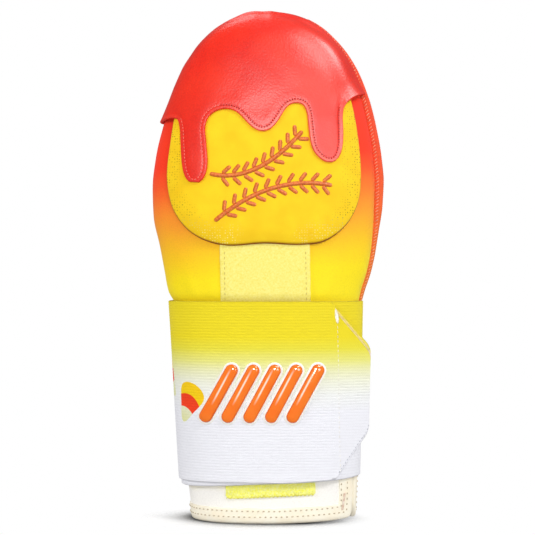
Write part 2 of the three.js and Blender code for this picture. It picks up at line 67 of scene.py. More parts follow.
SHIFT = np.array([-0.45, 2.35, 0.0])  # from the mitt's own middle to the shared frame's origin
METRE = 1000.0


def smooth_rows(rows, ghost, steps):
    """Rows on a smooth curve through the given ones that never overshoots them, evenly spaced."""
    rows = np.vstack([rows, ghost])
    spans = np.linalg.norm(np.diff(rows[:, :3], axis=0), axis=1)
    at = np.concatenate([[0], np.cumsum(spans)])
    slope = np.diff(rows, axis=0) / spans[:, None]
    first, second = slope[:-1], slope[1:]
    same_way = first * second > 0
    near, far = spans[:-1, None] + 2 * spans[1:, None], 2 * spans[:-1, None] + spans[1:, None]
    safe = np.where(same_way, near / np.where(same_way, first, 1) + far / np.where(same_way, second, 1), 1)
    tangent = np.vstack([slope[:1], np.where(same_way, (near + far) / safe, 0), slope[-1:]])
    t = np.linspace(0, at[-1 - len(ghost)], steps)
    k = np.clip(np.searchsorted(at, t, side="right") - 1, 0, len(spans) - 1)
    x, h = ((t - at[k]) / spans[k])[:, None], spans[k][:, None]
    start = (1 + 2 * x) * (1 - x) ** 2 * rows[k] + x * (1 - x) ** 2 * h * tangent[k]
    end = x * x * (3 - 2 * x) * rows[k + 1] + x * x * (x - 1) * h * tangent[k + 1]
    return start + end


def superellipse(angle, left, right, front, back, square):
    """Level point of a rounded section at an angle about +Z from +X."""
    c, s = np.cos(angle), np.sin(angle)
    power = 2 / np.where(c > 0, square, LEFT_SQUARE)
    x = (right - left) / 2 + (left + right) / 2 * np.sign(c) * np.abs(c) ** power
    y = np.where(s > 0, back, front) * np.sign(s) * np.abs(s) ** power
    return x, y


# A section's points are numbered by u, the share of the way round from the middle of the front,
# rising to the right. turn_at is that share at evenly spaced angles.
shell_rows = smooth_rows(FORM, PAST_TOP, 900)
turn_angles = np.radians(np.linspace(-90, 270, 4001))
turn_x, turn_y = superellipse(turn_angles, *FORM[WIDEST_ROW, 1:])
turn_at = np.concatenate([[0], np.cumsum(np.hypot(np.diff(turn_x), np.diff(turn_y)))])
turn_at /= turn_at[-1]


def angle_at(u):
    return np.interp(u % 1.0, turn_at, turn_angles) + 2 * np.pi * np.floor(u)


def shell_base(u, v):
    """The shell's outside at u round and at v, 0 at the foot and 1 at the top."""
    at = np.clip(v, 0, 1) * (len(shell_rows) - 1)
    z, *section = (np.interp(at, np.arange(len(shell_rows)), column) for column in shell_rows.T)
    return np.stack([*superellipse(angle_at(u), *section), z], axis=-1)


def shell_v(z):
    return np.interp(z, shell_rows[:, 0], np.linspace(0, 1, len(shell_rows)))


def outward(base, u, v):
    step = 1e-3
    across = base(u + step, v) - base(u - step, v)
    up = base(u, np.minimum(v + step, 1)) - base(u, np.maximum(v - step, 0))
    normal = np.cross(across, up)
    size = np.linalg.norm(normal, axis=-1, keepdims=True)
    return np.where(size > 1e-9, normal / np.maximum(size, 1e-9), np.array([0.0, 0.0, 1.0]))


def slide(base, inside, u, v, target):
    """Moves points over the surface, straight to or from the edge, until that is target away."""
    step = 1e-4
    for _ in range(4):
        here, right, up = base(u, v), base(u + step, v), base(u, v + step)
        reach = inside(u, v, here)
        length_u = np.linalg.norm(right - here, axis=-1) + 1e-9
        length_v = np.linalg.norm(up - here, axis=-1) + 1e-9
        slope_u = (inside(u + step, v, right) - reach) / length_u
        slope_v = (inside(u, v + step, up) - reach) / length_v
        move = np.clip((target - reach) / (slope_u**2 + slope_v**2 + 1e-4), -2, 2)
        u = u + move * slope_u * step / length_u
        v = v + move * slope_v * step / length_v
    return u, v


def patch(base, inside, us, vs, inset, rings, top, under, all_round=False):
    """A closed sheet lying on base wherever inside(u, v, points), the distance from its edge, is above 0.

    It is gridded where inside is over inset, and from there to the edge it follows the rings, each at
    one distance. top and under are both faces' heights over the base, numbers or functions of u, v,
    points and distance. Returns points, faces and each point's distance from the edge.
    """
    grid_u, grid_v = np.meshgrid(us, vs, indexing="ij")
    reach = (inside(grid_u, grid_v, base(grid_u, grid_v)) - inset).ravel()
    number = np.arange(grid_u.size).reshape(grid_u.shape)
    here = np.arange(len(us) if all_round else len(us) - 1)
    after = (here + 1) % len(us)
    corners = [number[here][:, :-1], number[after][:, :-1], number[after][:, 1:], number[here][:, 1:]]
    filled = sum((reach[c] > 0).astype(int) for c in corners)
    faces = np.stack([c[filled == 4] for c in corners], axis=-1).tolist()
    part = (filled > 0) & (filled < 4)
    u, v = grid_u.ravel().tolist(), grid_v.ravel().tolist()
    cuts, rim = {}, {}
    for cell in np.stack([c[part] for c in corners], axis=-1).tolist():
        face, crossings = [], []
        for a, b in zip(cell, cell[1:] + cell[:1]):
            if reach[a] > 0:
                face.append(a)
            if (reach[a] > 0) == (reach[b] > 0):
                continue
            key = (min(a, b), max(a, b))
            if key not in cuts:
                share = reach[a] / (reach[a] - reach[b])
                wrap = round(u[a] - u[b]) if all_round else 0
                cuts[key] = len(u)
                u.append(u[a] + (u[b] + wrap - u[a]) * share)
                v.append(v[a] + (v[b] - v[a]) * share)
            face.append(cuts[key])
            crossings.append((cuts[key], reach[a] > 0))
        faces.append(face)
        for k, (crossing, leaves) in enumerate(crossings):
            if leaves:
                rim[crossing] = crossings[(k + 1) % len(crossings)][0]
    u, v, edge = np.array(u), np.array(v), np.array(list(rim))
    place = {vertex: k for k, vertex in enumerate(edge.tolist())}
    following = np.array([place[rim[vertex]] for vertex in edge.tolist()])
    u[edge], v[edge] = slide(base, inside, u[edge], v[edge], inset)
    distance = inside(u, v, base(u, v))
    edge_u, edge_v = u[edge], v[edge]
    for target in rings:
        edge_u, edge_v = slide(base, inside, edge_u, edge_v, target)
        new = np.arange(len(edge)) + len(u)
        u, v = np.concatenate([u, edge_u]), np.concatenate([v, edge_v])
        distance = np.concatenate([distance, np.full(len(edge), float(target))])
        faces += np.stack([edge[following], edge, new, new[following]], axis=-1).tolist()
        edge = new
    points, out, both = base(u, v), outward(base, u, v), []
    for height in (top, under):
        height = height(u, v, points, distance) if callable(height) else np.full(len(u), height)
        both.append(points + out * height[:, None])
    count = len(u)
    below = [[i + count for i in reversed(face)] for face in faces]
    side = np.stack([edge[following], edge, edge + count, edge[following] + count], axis=-1).tolist()
    return np.vstack(both), faces + below + side, np.tile(distance, 2)


def add_piece(name, material, points, faces, edge=None, flat=None):
    """Makes the object. edge is each point's distance from its edge, flat its place when laid flat."""
    used, faces_at = np.unique(np.concatenate([np.array(f) for f in faces]), return_inverse=True)
    ends = np.cumsum([len(f) for f in faces])[:-1]
    mesh = bpy.data.meshes.new(name)
    placed = (np.asarray(points)[used] + SHIFT) / METRE
    mesh.from_pydata(placed.tolist(), [], [f.tolist() for f in np.split(faces_at, ends)])
    if edge is not None:
        attribute = mesh.attributes.new("edge", "FLOAT", "POINT")
        attribute.data.foreach_set("value", (edge[used] / METRE).astype(np.float32))
    if flat is not None:
        corner = np.zeros(len(mesh.loops), np.int32)
        mesh.loops.foreach_get("vertex_index", corner)
        layer = mesh.uv_layers.new(name="flat")
        layer.data.foreach_set("uv", (flat[used][corner] / METRE).astype(np.float32).ravel())
    mesh.polygons.foreach_set("use_smooth", [True] * len(mesh.polygons))
    mesh.materials.append(material)
    mesh.validate()
    mesh.update()
    piece = bpy.data.objects.new(name, mesh)
    bpy.context.scene.collection.objects.link(piece)
    return piece


def linear(code):
    """An sRGB hex colour as linear RGBA."""
    parts = [int(code[k : k + 2], 16) / 255 for k in (0, 2, 4)]
    return [p / 12.92 if p <= 0.04045 else ((p + 0.055) / 1.055) ** 2.4 for p in parts] + [1.0]


def add_node(tree, kind, *numbered, **named):
    """Adds a shader node. Numbered values and capitalised names are its sockets, other names settings.

    An underscore in a name stands for a space. A value that is a node or an output is linked to the
    socket, and a hex colour is turned to linear. stops are a ramp's positions and hex colours.
    """
    made = tree.nodes.new("ShaderNode" + kind)
    sockets = dict(enumerate(numbered))
    for name, value in named.items():
        if name[0].isupper():
            sockets[name.replace("_", " ")] = value
        elif name == "stops":
            elements = made.color_ramp.elements
            while len(elements) < len(value):
                elements.new(1.0)
            for element, (position, code) in zip(elements, value):
                element.position, element.color = position, linear(code)
        else:
            setattr(made, name, value)
    for socket, value in sockets.items():
        if isinstance(value, bpy.types.Node):
            value = next(output for output in value.outputs if output.enabled)
        if isinstance(value, bpy.types.NodeSocket):
            tree.links.new(value, made.inputs[socket])
        else:
            made.inputs[socket].default_value = linear(value) if isinstance(value, str) else value
    return made


def new_material(name):
    """A bare material, and the function that adds nodes to it."""
    made = bpy.data.materials.new(name)
    made.use_nodes = True
    made.node_tree.nodes.clear()
    return made, partial(add_node, made.node_tree)


# Polyester jersey over neoprene, dye-printed from red at the fingertips to cream at the cuff. The fine
# knit leaves the surface matt with a faint sheen, and its loops, 0.5 mm on the real one, are drawn at 0.9.
PRINT = [
    # height, colour
    (0, "fffcf6"), (22, "fffcf6"), (40, "fff09a"), (128, "ffe91e"), (147, "ffe414"), (163, "ffc91c"),
    (180, "ffa32a"), (192, "ff842a"), (205, "ff5822"), (216, "ff3a1a"), (305, "f8301a"),
]
PRINT_SLANT = 0.1  # the print runs out higher on the left than on the right
PRINT_TOP = 0.305
KNIT_LOOP = 0.0009

printed_jersey, node = new_material("polyester jersey over neoprene")
place = node("TexCoord").outputs["Object"]
axes = node("SeparateXYZ", place).outputs
drift = node("MapRange", node("TexNoise", place, Scale=70.0, Detail=3.0), 0.0, 1.0, -0.0035, 0.0035)
slant = node("Math", axes["X"], -PRINT_SLANT, axes["Z"], operation="MULTIPLY_ADD")
level = node("Math", slant, drift, operation="ADD")
share = node("Math", level, PRINT_TOP, operation="DIVIDE")
dye = node("ValToRGB", share, stops=[(z / METRE / PRINT_TOP, code) for z, code in PRINT])
loops = node("TexVoronoi", place, Scale=1 / KNIT_LOOP)
shade = node("MapRange", loops, 0.0, 1.0, 1.03, 0.93)
skin = node(
    "BsdfPrincipled", Base_Color=node("VectorMath", dye, Scale=shade, operation="SCALE"),
    Normal=node("Bump", Height=loops, Strength=0.25, Distance=0.00012, invert=True),
    Roughness=0.75, Specular_IOR_Level=0.2, Sheen_Weight=0.06, Sheen_Roughness=0.4)
node("OutputMaterial", skin)

# The cuff's slit: two panel edges side by side, with rounded lower corners and a hem that rises to it.
SLIT_FRONT_X = 50.4
SLIT_HALF = 1.2
SLIT_TOP = 40.0
CUFF_ROUND = 315.0  # length round the cuff
CUFF_CORNER = 5.5
HEM_RISE = {"from": 4, "height": 2.6}
BACK_RISE = {"height": 7.0, "reach": 15.0}
SHELL_INSET = 1.4  # from the cuff's edge to the shell's, inside the tape

cuff_u = np.linspace(0.05, 0.25, 2000)
slit_front = np.argmax(shell_base(cuff_u, shell_v(15.0) + 0 * cuff_u)[:, 0] > SLIT_FRONT_X)
slit_u = float(cuff_u[slit_front]) + SLIT_HALF / CUFF_ROUND


def round_cuff(u):
    """Length round the cuff from the slit's middle, below 0 on the front."""
    return ((u - slit_u + 0.5) % 1.0 - 0.5) * CUFF_ROUND


def from_slit(u, z):
    """Distance from the slit's open edge, in the plane of the cuff laid flat."""
    return np.hypot(round_cuff(u), np.maximum(z - (SLIT_TOP - SLIT_HALF), 0)) - SLIT_HALF


def from_hem(u, points):
    x, along = points[..., 0], round_cuff(u)
    near = np.clip((x - HEM_RISE["from"]) / (SLIT_FRONT_X - HEM_RISE["from"]), 0, 1)
    front = HEM_RISE["height"] * near**1.3 * (points[..., 1] < 0)
    back = BACK_RISE["height"] * np.clip(1 - (along - SLIT_HALF) / BACK_RISE["reach"], 0, 1) ** 2
    return points[..., 2] - np.where(along < 0, front, back)


def in_cuff(u, v, points):
    """Distance in from the cuff's edge: the hem, the slit, and the rounded corners between them."""
    side, foot = from_slit(u, points[..., 2]), from_hem(u, points)
    corner = CUFF_CORNER - np.hypot(CUFF_CORNER - side, CUFF_CORNER - foot)
    return np.where((side < CUFF_CORNER) & (foot < CUFF_CORNER), corner, np.minimum(side, foot))


def shell_top(u, v, points, distance):
    """Soft creases where the strap gathers the shell, and low waves over the rest."""
    x, z = points[..., 0], points[..., 2]
    gather = np.exp(-((z - 138) / 9) ** 2) * (np.sin(u * 151) + np.sin(u * 97 + 1.3)) * 0.16
    waves = 0.22 * np.sin(x / 13 + z / 21) * np.sin(z / 17 + 0.7)
    return gather + waves * np.clip((z - 131) / 12, 0, 1)


mitt_shell = add_piece("neoprene_shell", printed_jersey, *patch(
    shell_base, lambda u, v, points: in_cuff(u, v, points) - SHELL_INSET, np.arange(150) / 150,
    np.linspace(0, 1, 170), 1.2, [0.6, 0.0], shell_top, -WALL, all_round=True))
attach(mitt_shell, "root")
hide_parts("mitt_shell")

# Guard pad
# A foam guard in perforated polyester knit, cut to the pad's outline, its edge turned under and sewn
# down on the shell. It is rolled at the rim and swells gently to the middle.

PAD_OUTLINE = [
    (-1.5, 164.8), (20, 164), (33.5, 166.2), (45.5, 175), (53.0, 188.5), (55.0, 206), (51.8, 238),
    (45.8, 261), (36, 279.5), (18, 291.5), (-4, 295.5), (-27.5, 288.5), (-43.2, 271), (-52.8, 248),
    (-57.4, 224), (-59.2, 202), (-54.8, 183.6), (-43.6, 170.4), (-26, 163.8),
]
PAD_EDGE = 2.4
PAD_CROWN = 6.0
PAD_SHOULDER = 15.0
PAD_ROLL = 2.2
FAR_OUTSIDE = -60.0  # the distance that stands for the palm side, where a front piece isn't


def closed_curve(corners, steps):
    """A smooth closed line through points, even where they are unevenly spaced."""
    line = []
    corners = [np.array(c, float) for c in corners]
    for i in range(len(corners)):
        p = [corners[(i + k - 1) % len(corners)] for k in range(4)]
        t = [0.0]
        for a, b in zip(p, p[1:]):
            t.append(t[-1] + math.sqrt(np.linalg.norm(b - a)))
        for s in np.linspace(t[1], t[2], steps, endpoint=False):
            near = [((t[k + 1] - s) * p[k] + (s - t[k]) * p[k + 1]) / (t[k + 1] - t[k]) for k in range(3)]
            far = [((t[k + 2] - s) * near[k] + (s - t[k]) * near[k + 1]) / (t[k + 2] - t[k]) for k in (0, 1)]
            line.append(((t[2] - s) * far[0] + (s - t[1]) * far[1]) / (t[2] - t[1]))
    return np.array(line)


def within(outline, x, z):
    """Distance from the closed outline: positive inside it, negative outside."""
    start, end = outline, np.roll(outline, -1, axis=0)
    along = end - start
    result = np.empty(np.shape(x)).ravel()
    flat = np.stack([np.ravel(x), np.ravel(z)], axis=-1)
    batch = 20000
    for first in range(0, len(flat), batch):
        p = flat[first : first + batch, None, :]
        t = np.clip(((p - start) * along).sum(-1) / (along**2).sum(-1), 0, 1)
        nearest = np.sqrt((((start + t[..., None] * along) - p) ** 2).sum(-1).min(1))
        crosses = (start[:, 1] > p[..., 1]) != (end[:, 1] > p[..., 1])
        rise = np.where(along[:, 1] == 0, 1, along[:, 1])
        at_x = start[:, 0] + along[:, 0] * (p[..., 1] - start[:, 1]) / rise
        odd = (crosses & (p[..., 0] < at_x)).sum(1) % 2
        result[first : first + batch] = np.where(odd == 1, nearest, -nearest)
    return result.reshape(np.shape(x))


pad_line = closed_curve(PAD_OUTLINE, 8)


def in_pad(u, v, points):
    return np.where(points[..., 1] < 0, within(pad_line, points[..., 0], points[..., 2]), FAR_OUTSIDE)


def rolled(distance, radius):
    """Height of a quarter-round edge, from 0 at the edge to 1 at its radius."""
    return np.sqrt(1 - (1 - np.clip(distance / radius, 0, 1)) ** 2)


def pad_height(inward):
    swell = 1 - (1 - np.clip(inward / PAD_SHOULDER, 0, 1)) ** 2
    return 0.3 + PAD_EDGE + (PAD_CROWN - PAD_EDGE) * swell


def pad_top(u, v, points, distance):
    """The pad's height, with shallow dimples where the foam has settled."""
    x, z = points[..., 0], points[..., 2]
    settled = 0.18 * np.sin(x / 9 + 1) * np.sin(z / 11) * np.clip(distance / 8, 0, 1)
    return (pad_height(distance) + settled) * rolled(distance, PAD_ROLL)


# Perforated warp-knit polyester over foam: matt, with a soft sheen. The holes, 1.5 mm apart, show as
# olive dots beside the edge, paler low down, and fade towards the middle, where the cloth is stretched.
HOLE_PITCH = 0.0015
PAD_YARN = 0.0007

pad_knit, node = new_material("perforated polyester knit")
place = node("TexCoord").outputs["Object"]
axes = node("SeparateXYZ", place).outputs
flat_on = node("Mapping", place, Scale=(1, 0.001, 1))
rim = node("Attribute", attribute_name="edge").outputs["Fac"]
patchy = node("TexNoise", place, Scale=90.0, Detail=2.0)
middle = node("Math", axes["X"], operation="ABSOLUTE")
holes = node("TexVoronoi", flat_on, Scale=1 / HOLE_PITCH, Randomness=0.35)
shown = node("MapRange", holes, 0.18, 0.32, 1.0, 0.0)
for mask in (node("MapRange", rim, 0.006, 0.015, 1.0, 0.08),
             node("MapRange", patchy, 0.35, 0.6, 0.15, 0.75),
             node("MapRange", middle, 0.013, 0.022)):
    shown = node("Math", shown, mask, operation="MULTIPLY")
tone = node("ValToRGB", patchy, stops=[(0.3, "f7c812"), (0.7, "fcd41a")])
low = node("MapRange", axes["Z"], 0.172, 0.182)
through = node("Mix", Factor=low, A="fff6a0", B="9c7c0a", data_type="RGBA")
dotted = node("Mix", Factor=shown, A=tone, B=through, data_type="RGBA")
# Painted shade: a dark brown line along the pad's turned-under edge, where it meets the shell.
painted_pad_rim_shade = node("MapRange", rim, 0.0005, 0.0015, 1.0, 0.0)
yarn = node("TexVoronoi", flat_on, Scale=1 / PAD_YARN)
depth = node("Math", yarn, 0.35, shown, operation="MULTIPLY_ADD")
skin = node(
    "BsdfPrincipled", Base_Color=node("Mix", Factor=painted_pad_rim_shade, A=dotted, B="8c460e", data_type="RGBA"),
    Normal=node("Bump", Height=depth, Strength=0.4, Distance=0.0002, invert=True),
    Roughness=0.8, Specular_IOR_Level=0.2, Sheen_Weight=0.06, Sheen_Roughness=0.35)
node("OutputMaterial", skin)

guard_pad = add_piece("guard_pad_cover", pad_knit, *patch(
    shell_base, in_pad, np.linspace(-0.24, 0.24, 120), np.linspace(shell_v(155.0), shell_v(301.0), 110),
    4.6, [3.9, 3.2, 2.6, 2.1, 1.65, 1.25, 0.9, 0.6, 0.35, 0.15, 0.04, 0.0], pad_top, -0.2))
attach(guard_pad, "root")
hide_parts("guard_pad")

# Pad embroidery
# Raised satin stitch in orange rayon on the pad: two arched seams with slanted side stitches. Each
# stroke is a cord of threads laid side by side across it, on a flatter bed of darker thread.

SEAMS = [
    # start, bend and end of each arch
    ((-34, 206), (-7, 199), (20.5, 231)),
    ((-31, 178), (2, 206), (38, 199)),
]
SEAM_WIDTH = 2.3
SIDE_STITCH = {"pitch": 6.6, "length": 6.6, "width": 2.1, "lean": 47, "gap": 0.5}
THREAD_PITCH = 0.55
BED = {"margin": 0.9, "height": 0.35}


def seek(base, x, z):
    """Where on the front of the mitt a surface over the shell has its point at x, z."""
    u, v, step = np.interp(x, [-60, 60], [-0.24, 0.24]), shell_v(np.asarray(z, float)), 1e-4
    for _ in range(6):
        here = base(u, v)
        by_u, by_v = (base(u + step, v) - here) / step, (base(u, v + step) - here) / step
        miss_x, miss_z = x - here[..., 0], z - here[..., 2]
        area = by_u[..., 0] * by_v[..., 2] - by_v[..., 0] * by_u[..., 2]
        u = u + np.clip((miss_x * by_v[..., 2] - by_v[..., 0] * miss_z) / area, -0.03, 0.03)
        v = v + np.clip((by_u[..., 0] * miss_z - miss_x * by_u[..., 2]) / area, -0.03, 0.03)
    return u, v


def pad_face(u, v):
    points = shell_base(u, v)
    return points + outward(shell_base, u, v) * pad_top(u, v, points, in_pad(u, v, points))[..., None]


def arch(start, bend, end, steps):
    t = np.linspace(0, 1, steps)[:, None]
    start, bend, end = (np.array(p, float) for p in (start, bend, end))
    return (1 - t) ** 2 * start + 2 * t * (1 - t) * bend + t * t * end


def directions(line):
    along = np.gradient(line, axis=0)
    return along / np.linalg.norm(along, axis=1, keepdims=True)


def lengths_along(line):
    return np.concatenate([[0], np.cumsum(np.linalg.norm(np.diff(line, axis=0), axis=1))])


def read_off(wanted, at, line):
    """A line's values at the wanted lengths along it."""
    return np.stack([np.interp(wanted, at, column) for column in line.T], axis=-1)


def even(line, step):
    """The line's points, spaced evenly by about step."""
    at = lengths_along(line)
    return read_off(np.linspace(0, at[-1], max(2, int(round(at[-1] / step)) + 1)), at, line)


def leftward(along):
    return np.stack([-along[:, 1], along[:, 0]], axis=-1)


def satin(line, width, height):
    """A raised stroke along a line on the pad, ribbed across by its threads. Returns points, faces."""
    line = even(line, THREAD_PITCH / 3)
    at = np.linspace(-1, 1, len(line))
    end = np.sqrt(np.clip(1 - np.abs(at) ** (len(line) / 6), 0, 1))
    rib = 1 + 0.16 * np.cos(2 * np.pi * np.arange(len(line)) / 3)
    profile = np.linspace(-1, 1, 7)
    aside = (profile * width / 2 * end[:, None])[..., None]
    flat = line[:, None] + leftward(directions(line))[:, None] * aside
    u, v = seek(pad_face, flat[..., 0].ravel(), flat[..., 1].ravel())
    rise = height * np.sqrt(1 - profile**2) * (end * rib)[:, None] - 0.15
    points = pad_face(u, v) + outward(pad_face, u, v) * rise.reshape(-1, 1)
    side = len(profile)
    corner = np.arange((len(line) - 1) * side).reshape(-1, side)[:, :-1].ravel()
    return points, np.stack([corner, corner + side, corner + side + 1, corner + 1], axis=-1).tolist()


def gathered(parts):
    """Several meshes as one."""
    points, faces, count = [], [], 0
    for some, more in parts:
        points.append(some)
        faces += [[i + count for i in face] for face in more]
        count += len(some)
    return np.vstack(points), faces


strokes = []
lean = math.radians(SIDE_STITCH["lean"])
for start, bend, end in SEAMS:
    seam = arch(start, bend, end, 60)
    strokes.append((seam, SEAM_WIDTH, 1.0))
    knots = even(seam, SIDE_STITCH["pitch"])
    for knot, (ax, az) in zip(knots[1:-1], directions(knots)[1:-1]):
        for turn in (lean, -lean):
            c, s = math.cos(turn), math.sin(turn)
            way = np.array([ax * c - az * s, az * c + ax * s])
            foot = knot + way * (SEAM_WIDTH / 2 + SIDE_STITCH["gap"])
            side_line = np.array([foot, foot + way * SIDE_STITCH["length"]])
            strokes.append((side_line, SIDE_STITCH["width"], 0.85))
bed = [(line, width + BED["margin"], BED["height"]) for line, width, height in strokes]


def mottled(name, noise, stops, strength, depth, **finish):
    """A material that one fine noise both tints and roughens."""
    made, node = new_material(name)
    fine = node("TexNoise", node("TexCoord").outputs["Object"], **noise)
    relief = node("Bump", Height=fine, Strength=strength, Distance=depth)
    tint = node("ValToRGB", fine, stops=stops)
    node("OutputMaterial", node("BsdfPrincipled", Base_Color=tint, Normal=relief, **finish))
    return made


def thread(name, dark, light, roughness=0.5, scale=1200.0):
    """A thread's material: its twist shows as fine streaks of a darker and a lighter tone."""
    stops, noise = [(0.35, dark), (0.65, light)], {"Scale": scale, "Detail": 2.0}
    return mottled(
        name, noise, stops, 0.3, 0.0001, Roughness=roughness, Sheen_Weight=0.15, Sheen_Roughness=0.4)


# Rayon embroidery thread: bright and silky, the light breaking on each thread. Threads are drawn
# 0.55 mm apart, about twice as coarse as real ones.
rayon_orange = thread("rayon embroidery thread, orange", "d85c0e", "ee8426", 0.42, 900.0)
rayon_brown = thread("rayon embroidery thread, burnt orange", "a8440a", "c4560e", 0.5, 900.0)

for name, rayon, lines in (
        ("pad_embroidery", rayon_orange, strokes), ("pad_embroidery_bed", rayon_brown, bed)):
    embroidery = add_piece(name, rayon, *gathered([satin(*stroke) for stroke in lines]))
    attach(embroidery, "root")

# Drip cap
# Red coated leather 1.2 mm thick, drawn over the fingertips and the top of the pad. Its front edge is
# cut in three long drips and topstitched down; at the sides it hangs loose as two flaps.

DRIP_EDGE = [
    (-80, 236.6), (-63.5, 237.8), (-56, 239.3), (-53.2, 238.6), (-51.6, 233), (-51.1, 225), (-50.6, 216),
    (-49.6, 208), (-47.4, 202.6), (-43.4, 199.9), (-38.8, 201.6), (-36, 206.4), (-35.1, 213), (-36, 225),
    (-36.5, 233.5), (-34.7, 239), (-31, 242.3), (-25.8, 243.9), (-20.4, 243.2), (-16.8, 241), (-9.7, 233.7),
    (-6.1, 231.3), (-2.5, 230.6), (2, 232.2), (5.6, 236), (10.9, 244.3), (13.6, 246.6), (17.2, 247.4),
    (20.8, 246.2), (22.8, 242.6), (24.1, 232.4), (25, 225.6), (27, 219.2), (31, 214.6), (35.4, 212.5),
    (39, 213), (42, 216), (43.6, 221.4), (44, 230), (43.8, 240.6), (44.6, 245.6), (48.6, 250.6),
    (56.4, 254.6), (80, 265), (80, 330), (-80, 330),
]
DRIP_STEPS = 6
CAP_BACK = ((-80, 235), (80, 260))
LEATHER = 1.2
CAP_SEAM = 2.4  # from the drips' edge to the stitches
SEWN = (-56.0, 45.0)  # the drips lie between these x, the loose flaps outside them
PALM_SEWN = 54.0  # on the palm side the edge is sewn as far out as this
TAUT = {"reach": 6.0, "slope": 0.75, "fill": 1.9}  # the leather runs straight up to the pad's rim from here
CREST = {"low": 238, "full": 260}  # heights between which the rim below the leather gets fuller
FLAP_FOLD = (44.0, 255.5)  # x and height of the slanted crease where the right flap starts to stand off

drip_line = closed_curve(DRIP_EDGE, DRIP_STEPS)


def in_cap(u, v, points):
    x, y, z = points[..., 0], points[..., 1], points[..., 2]
    (x0, z0), (x1, z1) = CAP_BACK
    slope = (z1 - z0) / (x1 - x0)
    behind = (z - z0 - slope * (x - x0)) / math.hypot(1, slope)
    return np.where(y < 0, within(drip_line, x, z), behind)


def over_pad(points):
    """How far the leather lies above the shell: on it, straight up to the pad's rim, then over the pad."""
    inward = in_pad(None, None, points)
    high = np.clip((points[..., 2] - CREST["low"]) / (CREST["full"] - CREST["low"]), 0, 1)
    over = 0.35 + pad_height(inward) + TAUT["fill"] * high * (1 - np.clip(inward / PAD_SHOULDER, 0, 1)) ** 2
    rising = TAUT["slope"] * (inward + TAUT["reach"])
    lower = np.minimum(over, rising) - 0.45 * np.exp(-np.abs(over - rising) / 0.9)
    return np.where(points[..., 1] < 0, np.logaddexp(lower / 0.4, 0.35 / 0.4) * 0.4, 0.36)


def cap_base(u, v):
    """The face that the leather lies on, over the shell and the pad."""
    points = shell_base(u, v)
    return points + outward(shell_base, u, v) * over_pad(points)[..., None]


def sewn_down(points):
    """1 where the leather's edge is sewn down, at the drips and on the palm side, 0 at the loose flaps."""
    x = points[..., 0]
    drips = np.clip((x - SEWN[0]) / 3, 0, 1) * np.clip((SEWN[1] - x) / 3, 0, 1)
    return np.where(points[..., 1] < 0, drips, np.clip((PALM_SEWN - np.abs(x)) / 8, 0, 1))


def cap_top(u, v, points, distance):
    """The leather's outside: seam, rolled rim, loose flaps, and slack and puckers at the fingertips."""
    x, y, z, sewn = points[..., 0], points[..., 1], points[..., 2], sewn_down(points)
    groove = 0.1 * np.exp(-((distance - CAP_SEAM) / 0.5) ** 2) * sewn
    puff = 0.12 * np.exp(-((distance - CAP_SEAM * 2.3) / 2.4) ** 2) * sewn
    flap = 1.3 * np.exp(-distance / 5) * (1 - sewn)
    crumple = 0.14 * np.sin(x / 5.3 + 2 * np.sin(z / 11)) * np.sin(z / 6.1 + np.sin(x / 8))
    puckers = 0.2 * np.exp(-(((z - 303) / 9) ** 2)) * np.sin(x / 2.9 + 1.4 * np.sin(x / 7))
    puckers *= np.clip((8 - x) / 6, 0, 1)
    slack = 1.1 * np.exp(-((x + 4) / 12) ** 2 - ((z - 304) / 4.5) ** 2) * np.clip((8 - y) / 8, 0, 1)
    past_fold = np.clip((x - FLAP_FOLD[0]) * 0.8 - (z - FLAP_FOLD[1]) * 0.6, 0, 8)
    folded = 0.13 * past_fold * np.clip((4 - y) / 10, 0, 1) * np.clip((x - 43) / 4, 0, 1)
    bumps = crumple * np.clip(distance / 6, 0.2, 1) + puckers + slack + folded
    return LEATHER * rolled(distance, 0.6) - groove + puff + flap + bumps


def cap_under(u, v, points, distance):
    return (1.3 * np.exp(-distance / 5) + 0.2) * (1 - sewn_down(points)) - 0.25


# Polyurethane-coated leather: smooth and satin, with pebbled grain 1 mm across and softer highlights
# where it is stretched. The rim outside the stitches has a painted highlight on the middle and right drips.
GRAIN = 0.001

coated_leather, node = new_material("polyurethane-coated leather")
place = node("TexCoord").outputs["Object"]
across = node("SeparateXYZ", place).outputs["X"]
rim = node("Attribute", attribute_name="edge").outputs["Fac"]
blotch = node("TexNoise", place, Scale=45.0, Detail=3.0)
dye = node("ValToRGB", blotch, stops=[(0.3, "e81c04"), (0.7, "f42a07")])
# Painted highlight: the rim outside the stitches is lightened, on the middle and right drips only.
rim_highlight_and_yarn_tone = node("MapRange", rim, 0.0018, 0.0024, 0.7, 0.0)
for mask in (node("MapRange", across, -0.024, -0.012, 0.12, 1.0),
             node("MapRange", across, 0.040, 0.046, 1.0, 0.1)):
    rim_highlight_and_yarn_tone = node("Math", rim_highlight_and_yarn_tone, mask, operation="MULTIPLY")
painted_rim_highlight = node("Mix", Factor=rim_highlight_and_yarn_tone, A=dye, B="ff6a58", data_type="RGBA")
pebbles = node("TexVoronoi", place, Scale=1 / GRAIN, feature="SMOOTH_F1")
pores = node("TexNoise", place, Scale=1500.0, Detail=2.0)
grain = node("Math", pores, 0.35, pebbles, operation="MULTIPLY_ADD")
speck = node("MapRange", grain, 0.0, 1.0, 1.07, 0.88)
skin = node(
    "BsdfPrincipled", Base_Color=node("VectorMath", painted_rim_highlight, Scale=speck, operation="SCALE"),
    Normal=node("Bump", Height=grain, Strength=0.45, Distance=0.00018, invert=True),
    Roughness=node("MapRange", blotch, 0.0, 1.0, 0.34, 0.42), IOR=1.5)
node("OutputMaterial", skin)

